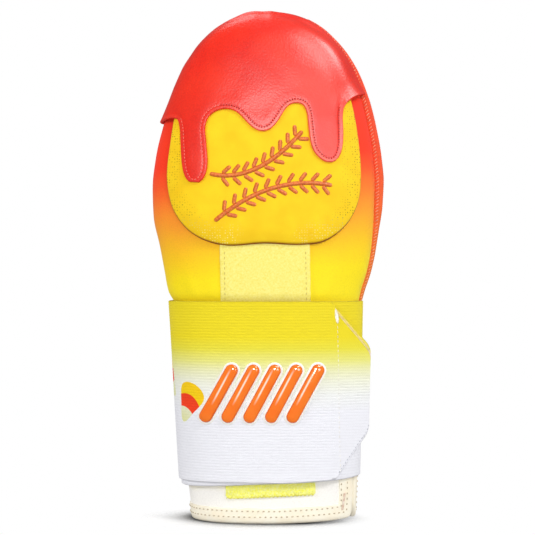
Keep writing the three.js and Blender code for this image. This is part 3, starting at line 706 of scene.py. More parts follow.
drip_cap = add_piece("drip_cap_leather", coated_leather, *patch(
    cap_base, in_cap, np.arange(250) / 250, np.linspace(shell_v(196.0), 1, 110),
    4.2, [3.8, 3.4, 3.0, 2.7, 2.4, 2.1, 1.8, 1.4, 1.0, 0.7, 0.45, 0.22, 0.06, 0.0],
    cap_top, cap_under, all_round=True))
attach(drip_cap, "root")
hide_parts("drip_cap")

# Cap topstitching
# Bonded nylon thread sewn along the drips, 2.4 mm inside their edge, pulled into the leather. The row on
# the palm side is longer stitched, and the one on the left drip is finer, the same red thread painted
# lighter there as a painted highlight.

THREAD_RADIUS = 0.5
LEFT_DRIP = -28  # the left drip's row ends at this x


def tube(stations, count, inside_out=False):
    """Faces round and along a tube of stations, each a ring of count points, and over its two ends."""
    first, k = (np.arange(stations - 1) * count)[:, None], np.arange(count)[None, :]
    a, b = first + k, first + (k + 1) % count
    near, far = list(range(count)), list(range((stations - 1) * count, stations * count))
    sides, ends = [a, b, b + count, a + count], [near[::-1], far]
    if inside_out:
        sides, ends = [a, a + count, b + count, b], [near, far[::-1]]
    return np.stack(sides, axis=-1).reshape(-1, 4).tolist() + ends


def legs(starts, ends, normals, radius, arch_height=0.35):
    """Threads from start to end, each bowed out of the surface and dipping into it at both ends."""
    along = ends - starts
    length = np.linalg.norm(along, axis=1, keepdims=True)
    along = along / np.maximum(length, 1e-6)
    side = np.cross(along, np.broadcast_to(normals, along.shape))
    side /= np.maximum(np.linalg.norm(side, axis=1, keepdims=True), 1e-6)
    up = np.cross(side, along)
    stations, count = [0, 0.12, 0.35, 0.65, 0.88, 1], 6
    turn = 2 * np.pi * np.arange(count)[None, :, None] / count
    rings = []
    for t in stations:
        lift = radius * (arch_height + 0.9) * (1 - (2 * t - 1) ** 4) - radius * 0.9
        girth = radius * (0.75 + 0.25 * (1 - (2 * t - 1) ** 2))
        centre = starts + along * length * t + up * lift
        rings.append(centre[:, None] + girth * (side[:, None] * np.cos(turn) + up[:, None] * np.sin(turn)))
    one = tube(len(stations), count)
    firsts = np.arange(len(starts)) * len(stations) * count
    faces = [[corner + first for corner in face] for first in firsts.tolist() for face in one]
    return np.stack(rings, axis=1).reshape(-1, 3), faces


def running(points, normals, length, gap, radius):
    """A row of stitches along a line that lies on a surface."""
    at = lengths_along(points)
    begin = np.arange(0, at[-1] - length, length + gap)
    middle = read_off(begin + length / 2, at, np.broadcast_to(normals, points.shape))
    return legs(read_off(begin, at, points), read_off(begin + length, at, points), middle, radius)


def on_cap(u, v, lift):
    """Points over the leather's outside, and its outward directions there."""
    point, out = cap_base(u, v), outward(cap_base, u, v)
    return point + out * (cap_top(u, v, point, in_cap(u, v, point)) + lift)[:, None], out


nylon_red = thread("bonded nylon thread, red", "bc1410", "da241a")
# The same red thread with a painted highlight, for the left drip's row.
nylon_red_painted_highlight = thread("bonded nylon thread, red, painted highlight", "f8503c", "ff7c68")

front_edge = even(drip_line[: DRIP_STEPS * (len(DRIP_EDGE) - 3)], 0.5)
front_edge = front_edge[(front_edge[:, 0] > -53) & (front_edge[:, 0] < 44.5)]
seam_line = front_edge + leftward(directions(front_edge)) * CAP_SEAM
row, out = on_cap(*seek(cap_base, seam_line[:, 0], seam_line[:, 1]), 0.16)
on_left = row[:, 0] < LEFT_DRIP
palm_u = np.linspace(0.28, 0.74, 900)
palm, palm_out = on_cap(*slide(cap_base, in_cap, palm_u, shell_v(250.0) + 0 * palm_u, CAP_SEAM), 0.1)
cap_stitches = add_piece("cap_topstitching", nylon_red, *gathered([
    running(row[~on_left], out[~on_left], 0.8, 0.8, THREAD_RADIUS),
    running(palm, palm_out, 1.7, 0.9, THREAD_RADIUS * 0.8)]))
left_stitches = add_piece(
    "cap_topstitching_left", nylon_red_painted_highlight,
    *running(row[on_left], out[on_left], 1.3, 0.7, THREAD_RADIUS * 0.6))
for piece in (cap_stitches, left_stitches):
    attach(piece, "root")

# Side binding
# Grosgrain tape folded over the sewn edges of the front and back panels, all the way up the right side,
# and held by one row of slanted stitches through both faces.

SEAM_FIN = np.array([
    # height, how far the tape stands off the shell
    [128.8, 0.8], [131.7, 2.1], [150, 2.7], [165, 3.1], [175, 3.7], [186, 5.0], [205, 5.8],
    [230, 5.2], [250, 5.0], [262, 4.2], [275, 3.3], [290, 2.5], [299.4, 2.0],
])
FIN_HALF = 1.6
FIN_FACE = [(-1.8, -1.0), (0.35, -1.0), (0.62, -1.02), (0.82, -0.95)]  # places out and to one side
FIN_NOSE = FIN_HALF * 0.75
RIB_PITCH = 1.3

fin_rows = shell_rows[(shell_rows[:, 0] > SEAM_FIN[0, 0]) & (shell_rows[:, 0] < 299.6)]
fin_line = even(fin_rows[:, [2, 0]], 0.32)
fin_out = -leftward(directions(fin_line))
fin_reach = np.interp(fin_line[:, 1], SEAM_FIN[:, 0], SEAM_FIN[:, 1])
fin_at = lengths_along(fin_line)
stations = np.arange(len(fin_line))
rib = 0.05 * np.cos(2 * np.pi * fin_at / RIB_PITCH)


def fin_point(k, out, depth):
    """Points at stations k of the seam, out from the shell and at a depth along Y."""
    flat = fin_line[k] + fin_out[k] * np.asarray(out)[:, None]
    return np.stack([flat[:, 0], np.asarray(depth) + 0 * flat[:, 0], flat[:, 1]], axis=-1)


def fin_face(share, half, face):
    """A line up one face of the tape: at a share of its reach, or below 0 that deep in the shell."""
    out = np.full(len(stations), share) if share < 0 else fin_reach * share
    return fin_point(stations, out, face * (half * FIN_HALF - rib * (share > 0)))


columns = [fin_face(share, half, 1) for share, half in FIN_FACE]
for angle in np.radians(np.linspace(-60, 60, 7)):
    out = fin_reach - FIN_NOSE + (FIN_NOSE + rib) * math.cos(angle)
    columns.append(fin_point(stations, out, FIN_HALF * 0.95 * math.sin(angle)))
columns += [fin_face(share, half, -1) for share, half in reversed(FIN_FACE)]
count = len(columns)
flat = np.stack([np.repeat(fin_at, count), np.tile(np.arange(count) * 1.0, len(stations))], axis=-1)

# Polyester grosgrain: a matt ribbed tape, its ribs 1.3 mm apart across it, with yarns that catch light.
WAVE_TURN = 3.1831  # a wave texture of scale 1 repeats this many times in a metre

grosgrain, node = new_material("polyester grosgrain")
place = node("TexCoord").outputs["Object"]
ribs = node(
    "TexWave", node("UVMap", uv_map="flat"), Scale=METRE / RIB_PITCH / WAVE_TURN, Distortion=0.4,
    bands_direction="X")
yarn = node("TexNoise", place, Scale=800.0, Detail=3.0)
rise = node("MapRange", node("SeparateXYZ", place).outputs["Z"], 0.131, 0.300)
dye = node("ValToRGB", rise, stops=[(0.0, "e67e26"), (0.25, "ee6c20"), (0.5, "f2501e"), (1.0, "ec3e1a")])
rim_highlight_and_yarn_tone = node("MapRange", yarn, 0.0, 1.0, 0.8, 1.16)
depth = node("Math", yarn, 0.5, ribs.outputs["Fac"], operation="MULTIPLY_ADD")
skin = node(
    "BsdfPrincipled", Base_Color=node("VectorMath", dye, Scale=rim_highlight_and_yarn_tone, operation="SCALE"),
    Normal=node("Bump", Height=depth, Strength=0.35, Distance=0.0002),
    Roughness=0.7, Specular_IOR_Level=0.3, Sheen_Weight=0.1, Sheen_Roughness=0.4)
node("OutputMaterial", skin)

points = np.stack(columns, axis=1).reshape(-1, 3)
side_binding = add_piece("side_binding_tape", grosgrain, points, tube(len(stations), count), flat=flat)
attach(side_binding, "root")
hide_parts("side_binding")

# Slanted stitches in pale peach polyester, through both faces of the tape, beside its inner edge.
SLANTED = {"pitch": 1.95, "near": 0.6, "far": 2.6, "lean": 1.0, "radius": 0.25}

polyester_peach = thread("polyester thread, pale peach", "f28a58", "fcb48e")

begins = np.searchsorted(fin_at, np.arange(1.5, fin_at[-1] - 1.5, SLANTED["pitch"]))
ends = np.searchsorted(fin_at, fin_at[begins] + SLANTED["lean"])
parts = []
for face in (-1, 1):
    near = fin_point(begins, np.full(len(begins), SLANTED["near"]), face * (FIN_HALF + 0.08))
    far = fin_point(ends, np.minimum(SLANTED["far"], fin_reach[ends] * 0.75), face * (FIN_HALF + 0.05))
    parts.append(legs(near, far, (0.0, face, 0.0), SLANTED["radius"], 0.5))
binding_stitches = add_piece("binding_stitches", polyester_peach, *gathered(parts))
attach(binding_stitches, "root")

# Loop panel
# A strip of loop tape, sewn flat on the shell between the pad and the strap. The strap's end grips it
# when the mitt is worn looser.

LOOP_PANEL = [(-27.4, 116, 1), (25.6, 116, 1), (24.8, 170, 1), (-28.2, 170, 1)]  # x, height, corner radius
PANEL_ROWS = ((-24.6, -25.3), (22.9, 22.2))  # x of each stitch row at the panel's foot and head
PILE_ROLL = 0.7


def rounded(corners, steps):
    """A closed outline of straight lines, each corner rounded to its radius."""
    line = []
    for i, (x, z, radius) in enumerate(corners):
        at = np.array([x, z], float)
        back = np.array(corners[i - 1][:2], float) - at
        on = np.array(corners[(i + 1) % len(corners)][:2], float) - at
        back, on = back / np.linalg.norm(back), on / np.linalg.norm(on)
        reach = radius / math.tan(math.acos(np.clip(back @ on, -1, 1)) / 2)
        line += list(arch(at + back * reach, at, at + on * reach, steps))
    return np.array(line)


def sheet_on_front(corners, height, columns, rows, wave, tufts):
    """A thin sewn sheet on the shell's front, inside an outline of rounded corners."""
    outline = rounded(corners, 6)

    def in_sheet(u, v, points):
        x, z = points[..., 0], points[..., 2]
        wavy = wave * (np.sin(z / 1.4) * np.sin(z / 3.7 + 1) + np.sin(x / 0.42) * np.sin(x / 2.9))
        return np.where(points[..., 1] < 0, within(outline, x, z) + wavy, FAR_OUTSIDE)

    def face(u, v, points, distance):
        x, z = points[..., 0], points[..., 2]
        tuft = np.sin(x * 2.9 + 3 * np.sin(z * 1.7)) * np.sin(z * 3.1 + 3 * np.sin(x * 1.3))
        return shell_top(u, v, points, distance) + (height + tufts * tuft) * rolled(distance, PILE_ROLL)

    reach = max(abs(c[0]) for c in corners) / 62.0 * 0.25 * 1.15
    lowest, highest = min(c[1] for c in corners) - 2, max(c[1] for c in corners) + 2
    return patch(
        shell_base, in_sheet, np.linspace(-reach, reach, columns),
        np.linspace(shell_v(lowest), shell_v(highest), rows), 1.1, [0.8, 0.5, 0.25, 0.08, 0.0],
        face, lambda u, v, points, distance: shell_top(u, v, points, distance) - 0.2)


def on_shell(x, z, lift):
    u, v = seek(shell_base, x, z)
    point, out = shell_base(u, v), outward(shell_base, u, v)
    return point + out * (lift + shell_top(u, v, point, None))[:, None], out


# Brushed nylon loop: a dense pile of soft loops under 1 mm high, matt, with light caught in its tips.
# Single loops are too fine to show, so their tufts are drawn 1.1 mm across.
TUFT = 0.0011
PILE = {"Roughness": 0.9, "Specular_IOR_Level": 0.2, "Sheen_Weight": 0.15, "Sheen_Roughness": 0.5}

loop_pile = mottled(
    "brushed nylon loop, pale yellow", {"Scale": 1 / TUFT, "Detail": 4.0, "Roughness": 0.65},
    [(0.3, "f2e260"), (0.65, "fef18e")], 0.6, 0.0004, **PILE)

loop_panel = add_piece("loop_panel_pile", loop_pile, *sheet_on_front(LOOP_PANEL, 1.0, 90, 90, 0.12, 0.05))
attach(loop_panel, "root")
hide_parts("loop_panel")

polyester_straw = thread("polyester thread, straw", "c4ab3a", "dcc556")

z = np.linspace(126, 163, 90)
rows = [on_shell(np.interp(z, [116, 170], ends), z, 1.0) for ends in PANEL_ROWS]
panel_stitches = add_piece(
    "loop_panel_stitches", polyester_straw, *gathered([running(*row, 1.7, 1.3, 0.2) for row in rows]))
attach(panel_stitches, "root")

# Hem strip
# A short strip of bright yellow loop tape, sewn on the cuff just below the strap for its free end. A
# narrow zigzag in yellow thread holds its lower edge, and a sunk row its upper part.

STRIP_X = (-24.4, 28.2)
STRIP_FOOT = (14.8, 17.3)  # height of its lower edge at both ends
STRIP_ROW = (23.6, 24.8)
STRIP_TOP = 33

bright_pile = mottled(
    "brushed nylon loop, bright yellow", {"Scale": 1 / TUFT, "Detail": 4.0, "Roughness": 0.7},
    [(0.34, "fffb40"), (0.62, "ffffa6")], 0.8, 0.0006, **PILE)

feet = [(x, z, 0.2) for x, z in zip(STRIP_X, STRIP_FOOT)]
heads = [(x, STRIP_TOP, 0.2) for x in reversed(STRIP_X)]
hem_strip = add_piece("hem_strip_pile", bright_pile, *sheet_on_front(feet + heads, 1.1, 170, 60, 0.16, 0.3))
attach(hem_strip, "root")
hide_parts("hem_strip")

polyester_yellow = thread("polyester thread, lemon", "d8cc10", "f4ec34")

x = np.arange(-24.0, 28.0, 1.15)
swing = np.where(np.arange(len(x)) % 2 == 0, -0.3, 1.5)
line, out = on_shell(x, np.interp(x, STRIP_X, STRIP_FOOT) + swing, 0.75 + 0.25 * (swing > 0))
zigzag = legs(line[:-1], line[1:], out[:-1], 0.2, 0.5)
x = np.linspace(-23.4, 27.4, 200)
line, out = on_shell(x, np.interp(x, STRIP_X, STRIP_ROW), 1.0)
strip_stitches = add_piece(
    "hem_strip_stitches", polyester_yellow, *gathered([zigzag, running(line, out, 1.2, 1.2, 0.22)]))
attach(strip_stitches, "root")

# Cuff binding
# Smooth cream tape folded over the hem and over both edges of the slit, and sewn down with two rows of
# tan stitches. A short bar of dense stitches reinforces the front corner of the slit.

BAND = {"hem": 9.4, "slit": 16.8, "top": 48.0}
TAPE = 0.7
FOLD = (WALL + 2 * TAPE) / 2
CUFF_ROWS = [(4.3, 8.5), (7.7, 14.8)]  # each row's distance from the hem and from the slit
CUFF_ROWS_TOP = 44
BAR_TACK = {"low": 5.8, "high": 15.8, "half": 1.25, "pitch": 0.36, "inward": 13.3, "lean": 0.21}


def in_band(u, points):
    z = points[..., 2]
    beside = np.minimum(BAND["slit"] - from_slit(u, z), BAND["top"] - z)
    return np.maximum(BAND["hem"] - from_hem(u, points), beside)


def in_tape(u, v, points):
    return np.minimum(in_cuff(u, v, points), in_band(u, points))


def tape_top(u, v, points, distance):
    fold = FOLD * (1 - rolled(in_cuff(u, v, points), FOLD))
    return TAPE - fold - TAPE * (1 - rolled(in_band(u, points), 0.6))


def tape_under(u, v, points, distance):
    fold = FOLD * (1 - rolled(in_cuff(u, v, points), FOLD))
    return fold - WALL - TAPE + TAPE * (1 - rolled(in_band(u, points), 0.6))


# Polyester twill tape: close-woven, smooth and matt. Its fine diagonal twill is drawn 1.1 mm apart.
TWILL = 0.0008  # the lines of a diagonal wave lie 1.4 times this apart

twill_tape, node = new_material("polyester twill tape, cream")
place = node("TexCoord").outputs["Object"]
twill = node("TexWave", place, Scale=1 / TWILL / WAVE_TURN, Distortion=0.6, bands_direction="DIAGONAL")
soil = node("TexNoise", place, Scale=120.0, Detail=3.0)
skin = node(
    "BsdfPrincipled", Base_Color=node("ValToRGB", soil, stops=[(0.3, "fef3da"), (0.7, "fff9e7")]),
    Normal=node("Bump", Height=twill.outputs["Fac"], Strength=0.15, Distance=0.0001),
    Roughness=0.75, Specular_IOR_Level=0.25, Sheen_Weight=0.08, Sheen_Roughness=0.4)
node("OutputMaterial", skin)

cuff_binding = add_piece("cuff_binding_tape", twill_tape, *patch(
    shell_base, in_tape, np.arange(220) / 220, np.linspace(shell_v(-5.9), shell_v(56.0), 44),
    1.1, [0.85, 0.6, 0.4, 0.22, 0.1, 0.03, 0.0], tape_top, tape_under, all_round=True))
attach(cuff_binding, "root")
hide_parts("cuff_binding")

polyester_tan = thread("polyester thread, tan", "bca98a", "d4c6a8")
polyester_rose = thread("polyester thread, rose beige", "d4aa88", "f6e8da", scale=350.0)


def cuff_line(along, heights, lift):
    """A line on the tape: along is the length round from the slit, heights are over the hem."""
    us = slit_u + along / CUFF_ROUND
    base = shell_base(us, shell_v(heights))
    v = shell_v(heights + base[:, 2] - from_hem(us, base))
    out = outward(shell_base, us, v)
    return shell_base(us, v) + out * (TAPE + lift), out


parts = []
for inward, beside in CUFF_ROWS:
    side = SLIT_HALF + beside
    up, level = np.arange(inward, CUFF_ROWS_TOP, 0.5), np.arange(side, CUFF_ROUND - side, 0.5)
    along = np.concatenate([np.full(len(up), side), level, np.full(len(up), CUFF_ROUND - side)])
    heights = np.concatenate([up[::-1], np.full(len(level), inward), up])
    if inward < CUFF_CORNER:
        for values in (along, heights):
            values[4:-4] = np.convolve(values, np.full(9, 1 / 9), "valid")
    parts.append(running(*cuff_line(along, heights, 0.02), 1.25, 1.9, 0.38))
cuff_stitches = add_piece("cuff_stitches", polyester_tan, *gathered(parts))

heights = np.arange(BAR_TACK["low"], BAR_TACK["high"], BAR_TACK["pitch"])
swing = np.where(np.arange(len(heights)) % 2 == 0, 1, -1) * BAR_TACK["half"]
middle = SLIT_HALF + BAR_TACK["inward"] - BAR_TACK["lean"] * (heights - BAR_TACK["low"])
line, out = cuff_line(-middle - swing, heights, 0.1)
bar_tack = add_piece("cuff_bar_tack", polyester_rose, *legs(line[:-1], line[1:], out[:-1], 0.3, 0.6))
for piece in (cuff_stitches, bar_tack):
    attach(piece, "root")

# Wrist strap
# Ribbed woven elastic 110 mm wide, wound one and a half times round the wrist. It is printed yellow at
# the top, fading to white, with small three-coloured kernels, and its end tapers to a free tab.

STRAP_FORM = np.array([
    # height, left, right, front, back, squareness
    [20, 50.6, 54.6, 32.5, 32.0, 3.3], [60, 53.0, 55.3, 32.0, 31.4, 3.0],
    [97, 55.1, 55.9, 31.6, 30.7, 2.8], [134, 57.4, 56.6, 31.4, 30.2, 2.6],
])
ELASTIC = 1.2
LAP = 1.5  # how far the upper layer lies above the lower
STRAP_TURN = {"start": 150, "lap": 450, "lap_end": 500, "leave": 660}
STRAP_EDGE = {"low_left": 20.8, "low_right": 27.0, "high": 131.0}
LAP_RISE = ((-50, 3.2), (-25, 2.1), (-8, 1.1), (6, 0.4))  # by x, how much higher the upper layer ends
FRONT_TURN = 545  # the upper layer comes round to the front at this turn
TAB_END = {"x": 61.3, "y": -21.0, "lean": 0.025}  # the lean draws its lower corner in
TAB_HIGH = ((38.1, 131.0), (61.3, 103.6))  # x and height where the slanted edges begin and end
TAB_LOW = ((39.6, 26.6), (60.0, 53.6))
TAB_CORNER = 3.0
TAB_SHARES = [*np.linspace(0, 0.88, 22)[1:], 0.91, 0.94, 0.96, 0.975, 0.988, 0.996, 1.0]
RIB = 1.65
RIB_DEPTH = 0.12
OUTER_ROWS, INNER_ROWS = 320, 24

strap_rows = smooth_rows(STRAP_FORM, np.empty((0, 6)), 200)


def u_at(degrees):
    angle = math.radians(degrees)
    turns = math.floor((angle + math.pi / 2) / (2 * math.pi))
    return turns + float(np.interp(angle - 2 * math.pi * turns, turn_angles, turn_at))


def strap_section(u, z):
    section = (np.interp(z, strap_rows[:, 0], column) for column in strap_rows.T[1:])
    x, y = superellipse(angle_at(u), *section)
    return np.stack([x, y, z + 0 * x], axis=-1)


def strap_out(u, z):
    step = 1e-3
    along = strap_section(u + step, z) - strap_section(u - step, z)
    along /= np.linalg.norm(along, axis=-1, keepdims=True)
    return np.stack([along[..., 1], -along[..., 0], 0 * along[..., 0]], axis=-1), along


wound_u = np.linspace(u_at(STRAP_TURN["start"]), u_at(STRAP_TURN["leave"]), 190)
wound_degrees = np.degrees(angle_at(wound_u))
lap = np.clip((wound_degrees - STRAP_TURN["lap"]) / (STRAP_TURN["lap_end"] - STRAP_TURN["lap"]), 0, 1)
lap = lap * lap * (3 - 2 * lap)


def strap_point(column, z, offset):
    """A point of the strap at a column of its length, a height, and an offset out of its inside."""
    offset = np.asarray(offset) + 0 * z
    if column < len(wound_u):
        out, _ = strap_out(wound_u[column] + 0 * z, z)
        return strap_section(wound_u[column] + 0 * z, z) + out * (lap[column] * LAP + offset)[:, None]
    share = TAB_SHARES[column - len(wound_u)]
    out, along = strap_out(wound_u[-1] + 0 * z, z)
    start = strap_section(wound_u[-1] + 0 * z, z) + out * (LAP + offset)[:, None]
    end_x = TAB_END["x"] - TAB_END["lean"] * np.clip(TAB_HIGH[1][1] - z, 0, 60)
    end = np.stack([end_x, TAB_END["y"] - offset, z], axis=-1)
    bend = start + along * (np.linalg.norm(end - start, axis=1) / 2)[:, None]
    point = (1 - share) ** 2 * start + 2 * share * (1 - share) * bend + share**2 * end
    point[:, 2] = z
    return point


def tab_edges(column):
    """Lower and upper edge of the tab, slanted from where it leaves the wrist, with rounded corners."""
    x = strap_point(column, np.array([TAB_LOW[1][1], TAB_HIGH[1][1]]), 0.0)[:, 0]
    share = TAB_SHARES[column - len(wound_u)]
    corner = TAB_CORNER * (1 - math.sqrt(1 - max(0.0, (share - 0.9) / 0.1) ** 2))
    return np.interp(x[0], *zip(*TAB_LOW)) + corner, np.interp(x[1], *zip(*TAB_HIGH)) - corner


strap_columns = len(wound_u) + len(TAB_SHARES)
rightward = (np.cos(np.radians(wound_degrees)) + 1) / 2
front_x = np.where(wound_degrees < FRONT_TURN, -50.0, strap_section(wound_u, 24.0 + 0 * wound_u)[:, 0])
wound_low = STRAP_EDGE["low_left"] + (STRAP_EDGE["low_right"] - STRAP_EDGE["low_left"]) * rightward
wound_low += lap * np.interp(front_x, *zip(*LAP_RISE))
wound_edges = np.stack([wound_low, np.full(len(wound_u), STRAP_EDGE["high"])], axis=-1)
strap_edges = np.vstack([wound_edges, [tab_edges(c) for c in range(len(wound_u), strap_columns)]])

columns, heights, hems = [], [], []
for column, (low, high) in enumerate(strap_edges):
    z = np.concatenate([np.linspace(low, high, OUTER_ROWS), np.linspace(high, low, INNER_ROWS)])
    hem = np.minimum(z - low, high - z)
    rib = RIB_DEPTH * (0.5 + 0.5 * np.cos(2 * np.pi * z / RIB)) ** 0.7
    thick = ELASTIC * (0.45 + 0.55 * rolled(hem, 0.7)) + rib * (hem > 0.3)
    thick[OUTER_ROWS:] = 0.0
    columns.append(strap_point(column, z, thick))
    heights.append(z)
    hems.append(hem)
strap_middle = np.array([column[OUTER_ROWS // 2] for column in columns])
strap_at = lengths_along(strap_middle)
flat = np.stack([np.repeat(strap_at, OUTER_ROWS + INNER_ROWS), np.concatenate(heights)], axis=-1)

# Knitted elastic: cords of rubber running along the strap, wrapped in textured polyester. The cords
# stand up as ribs 1.65 mm apart, and the wrapping yarns cross them in short steps. Painted shade darkens
# the rib valleys and the hems.
YARN_STEP = 0.0012
STRAP_PRINT = [
    # height, colour
    (20, "f5f5fb"), (66, "f5f5fb"), (76, "f5f6f3"), (84, "f4f5df"), (90, "f1f1c0"), (96, "efec84"),
    (103, "efe442"), (110, "f4e022"), (131, "f3dd20"),
]
KERNELS = [
    # x at the front or turn round the wrist in degrees, height of the middle, lean from upright
    ("x", -47.2, 70.7, 26), ("turn", 543, 84.0, -38), ("turn", 512, 60.0, 30), ("turn", 478, 92.0, -20),
    ("turn", 450, 62.0, 75), ("turn", 418, 88.0, 15), ("turn", 384, 64.0, -32),
]
KERNEL = {"length": 25.0, "half": 9.3, "low": 0.37, "high": 0.71, "bow": 0.0021}
KERNEL_HALVES = [
    # share of the kernel's length from its tip, share of its half width there
    (0.02, 0.16), (0.06, 0.27), (0.12, 0.37), (0.35, 0.62), (0.6, 0.9),
    (0.7, 0.98), (0.8, 0.97), (0.89, 0.82), (0.95, 0.6), (0.985, 0.33),
]
KERNEL_BANDS = [
    # share of the kernel's length from its tip, colour
    (0.0, "e9e9a4"), (KERNEL["low"] - 0.01, "eff0cc"), (KERNEL["low"] + 0.005, "ff431c"),
    (KERNEL["high"] - 0.01, "f8431a"), (KERNEL["high"] + 0.005, "fdd60c"), (1.0, "ffd010"),
]


def along_strap(kind, value):
    """Length along the strap, where its front has an x or at a turn round the wrist."""
    wound = range(len(wound_u))
    if kind == "turn":
        return float(np.interp(value, wound_degrees, strap_at[wound]))
    front = [c for c in wound if wound_degrees[c] > FRONT_TURN]
    return float(np.interp(value, strap_middle[front, 0], strap_at[front]))


woven_elastic, node = new_material("printed polyester elastic")
place = node("TexCoord").outputs["Object"]
laid = node("UVMap", uv_map="flat")
height = node("SeparateXYZ", place).outputs["Z"]
share = node("MapRange", height, 0.020, 0.131)
colour = node("ValToRGB", share, stops=[((z - 20) / 111, code) for z, code in STRAP_PRINT])
for kind, value, z, lean in KERNELS:
    c, s = math.cos(math.radians(lean)) * METRE, math.sin(math.radians(lean)) * METRE
    centre = (along_strap(kind, value) / METRE, z / METRE, 0)
    arm = node("VectorMath", laid, centre, operation="SUBTRACT")
    side = node("VectorMath", arm, (c, -s, 0), operation="DOT_PRODUCT")
    rise = node("VectorMath", arm, (s, c, 0), operation="DOT_PRODUCT")
    up = node("MapRange", rise, -KERNEL["length"] / 2, KERNEL["length"] / 2)
    width = node("FloatCurve", Value=up)
    curve = width.mapping.curves[0]
    curve.points[0].location, curve.points[1].location = (0.0, 0.0), (1.0, 0.0)
    for at, half in KERNEL_HALVES:
        curve.points.new(at, half)
    width.mapping.update()
    away = node("Math", side, operation="ABSOLUTE")
    gap = node("Math", width, KERNEL["half"] + 0.4, -0.4, operation="MULTIPLY_ADD")
    gap = node("Math", gap, away, operation="SUBTRACT")
    shape = node("MapRange", gap, -0.15, 0.15)
    bow = node("Math", away, 2.0, operation="POWER")
    bow = node("Math", bow, KERNEL["bow"], up, operation="MULTIPLY_ADD")
    bands = node("ValToRGB", bow, stops=KERNEL_BANDS)
    colour = node("Mix", Factor=shape, A=colour, B=bands, data_type="RGBA")
weave = node(
    "TexBrick", laid, Color1=(0.96, 0.96, 0.96, 1), Color2=(1, 1, 1, 1), Mortar=(0.91, 0.91, 0.92, 1),
    Scale=1.0, Mortar_Size=0.00016, Mortar_Smooth=0.8, Brick_Width=YARN_STEP, Row_Height=RIB / METRE / 2)
woven = node("Mix", Factor=1.0, A=colour, B=weave, data_type="RGBA", blend_type="MULTIPLY")
turns = node("Math", height, 2 * math.pi * METRE / RIB, operation="MULTIPLY")
# Painted shade: the rib valleys and the strap's rolled hems are darkened.
painted_rib_shade = node("MapRange", node("Math", turns, operation="COSINE"), -1.0, 0.1, 0.96, 1.0)
rim = node("Attribute", attribute_name="edge").outputs["Fac"]
painted_hem_shade = node("MapRange", rim, 0.0002, 0.0009, 0.7, 1.0)
painted_strap_shade = node("Math", painted_rib_shade, painted_hem_shade, operation="MULTIPLY")
fuzz = node("TexNoise", place, Scale=1100.0, Detail=2.0)
depth = node("Math", weave.outputs["Fac"], -1.0, fuzz, operation="MULTIPLY_ADD")
skin = node(
    "BsdfPrincipled", Base_Color=node("VectorMath", woven, Scale=painted_strap_shade, operation="SCALE"),
    Normal=node("Bump", Height=depth, Strength=0.3, Distance=0.00018),
    Roughness=0.8, Specular_IOR_Level=0.2, Sheen_Weight=0.05, Sheen_Roughness=0.4)
node("OutputMaterial", skin)

wrist_strap = add_piece(
    "wrist_strap_elastic", woven_elastic, np.concatenate(columns),
    tube(strap_columns, OUTER_ROWS + INNER_ROWS, inside_out=True), edge=np.concatenate(hems), flat=flat)
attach(wrist_strap, "root")
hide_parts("wrist_strap")

# Tab stitching
# White polyester thread: a narrow overlock just inside the tab's upper slanted edge, a row of stitches
# beside its lower edge, one line of stitches where the tab is folded, and a dense tack at the top of the
# fold.

OVERLOCK = {"near": 0.9, "far": 2.3}
FOLD_X = 41.6
TAB_FACING = (0.3, -1.0, 0.0)
TAB_TACK = {"low": 118.5, "high": 126.2, "pitch": 0.33}

polyester_white = thread("polyester thread, white", "f0e8d8", "fffdf6", 0.55)
polyester_cream = thread("polyester thread, pale rose", "eed6c4", "f8e8dc", 0.55)
polyester_grey = thread("polyester thread, pale grey", "9fa1aa", "babcc4", 0.55)

tab_columns = range(len(wound_u) - 6, strap_columns)
tab_x = np.array([strap_point(c, np.array([77.0]), ELASTIC)[0, 0] for c in tab_columns])
fold_column = tab_columns[int(np.argmin(np.abs(tab_x - FOLD_X)))]


def beside_rim(upper, inward):
    """A line on the tab's face, at a distance in from its slanted edge."""
    line = []
    for c, x in zip(tab_columns, tab_x):
        if FOLD_X - 1 < x < TAB_END["x"] - 0.6:
            z = strap_edges[c, 1] - inward * 1.5 if upper else strap_edges[c, 0] + inward * 1.5
            line.append(strap_point(c, np.array([z]), ELASTIC + RIB_DEPTH)[0])
    return np.array(line)


near, far = (even(beside_rim(True, OVERLOCK[side]), 1.3) for side in ("near", "far"))
count = min(len(near), len(far))
near, far = near[:count], far[:count]
overlock = add_piece("tab_overlock", polyester_cream, *gathered([
    legs(near[:-1], far[1:], TAB_FACING, 0.1, 0.6), legs(far[:-1], far[1:], TAB_FACING, 0.12, 0.5)]))
lower_row = add_piece(
    "tab_lower_stitches", polyester_grey, *running(beside_rim(False, 1.2), TAB_FACING, 1.2, 1.0, 0.21))

line = strap_point(fold_column, np.linspace(31, 121, 200), ELASTIC + RIB_DEPTH)
heights = np.arange(TAB_TACK["low"], TAB_TACK["high"], TAB_TACK["pitch"])
swing = np.where(np.arange(len(heights)) % 2 == 0, 1, -1)
widening = 0.4 + 0.8 * np.sin(np.pi * np.linspace(0.1, 1, len(heights)))
tack = strap_point(fold_column, heights, ELASTIC + RIB_DEPTH + 0.15)
tack[:, 0] += swing * widening - 0.12 * (heights - TAB_TACK["low"])
tab_stitching = add_piece("tab_stitching", polyester_white, *gathered([
    running(line, TAB_FACING, 1.6, 1.2, 0.16), legs(tack[:-1], tack[1:], TAB_FACING, 0.28, 1.2)]))
for piece in (overlock, lower_row, tab_stitching):
    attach(piece, "root")

# Hook patch
# Nylon hook tape sewn inside the tab's end, which grips the strap's own surface. Its stiff hooks stand
# in rows on a thin woven ground.

HOOK = {"from": 0.62, "ground": 0.45, "hook": 0.8, "inset": 4.0, "pitch": 1.3}

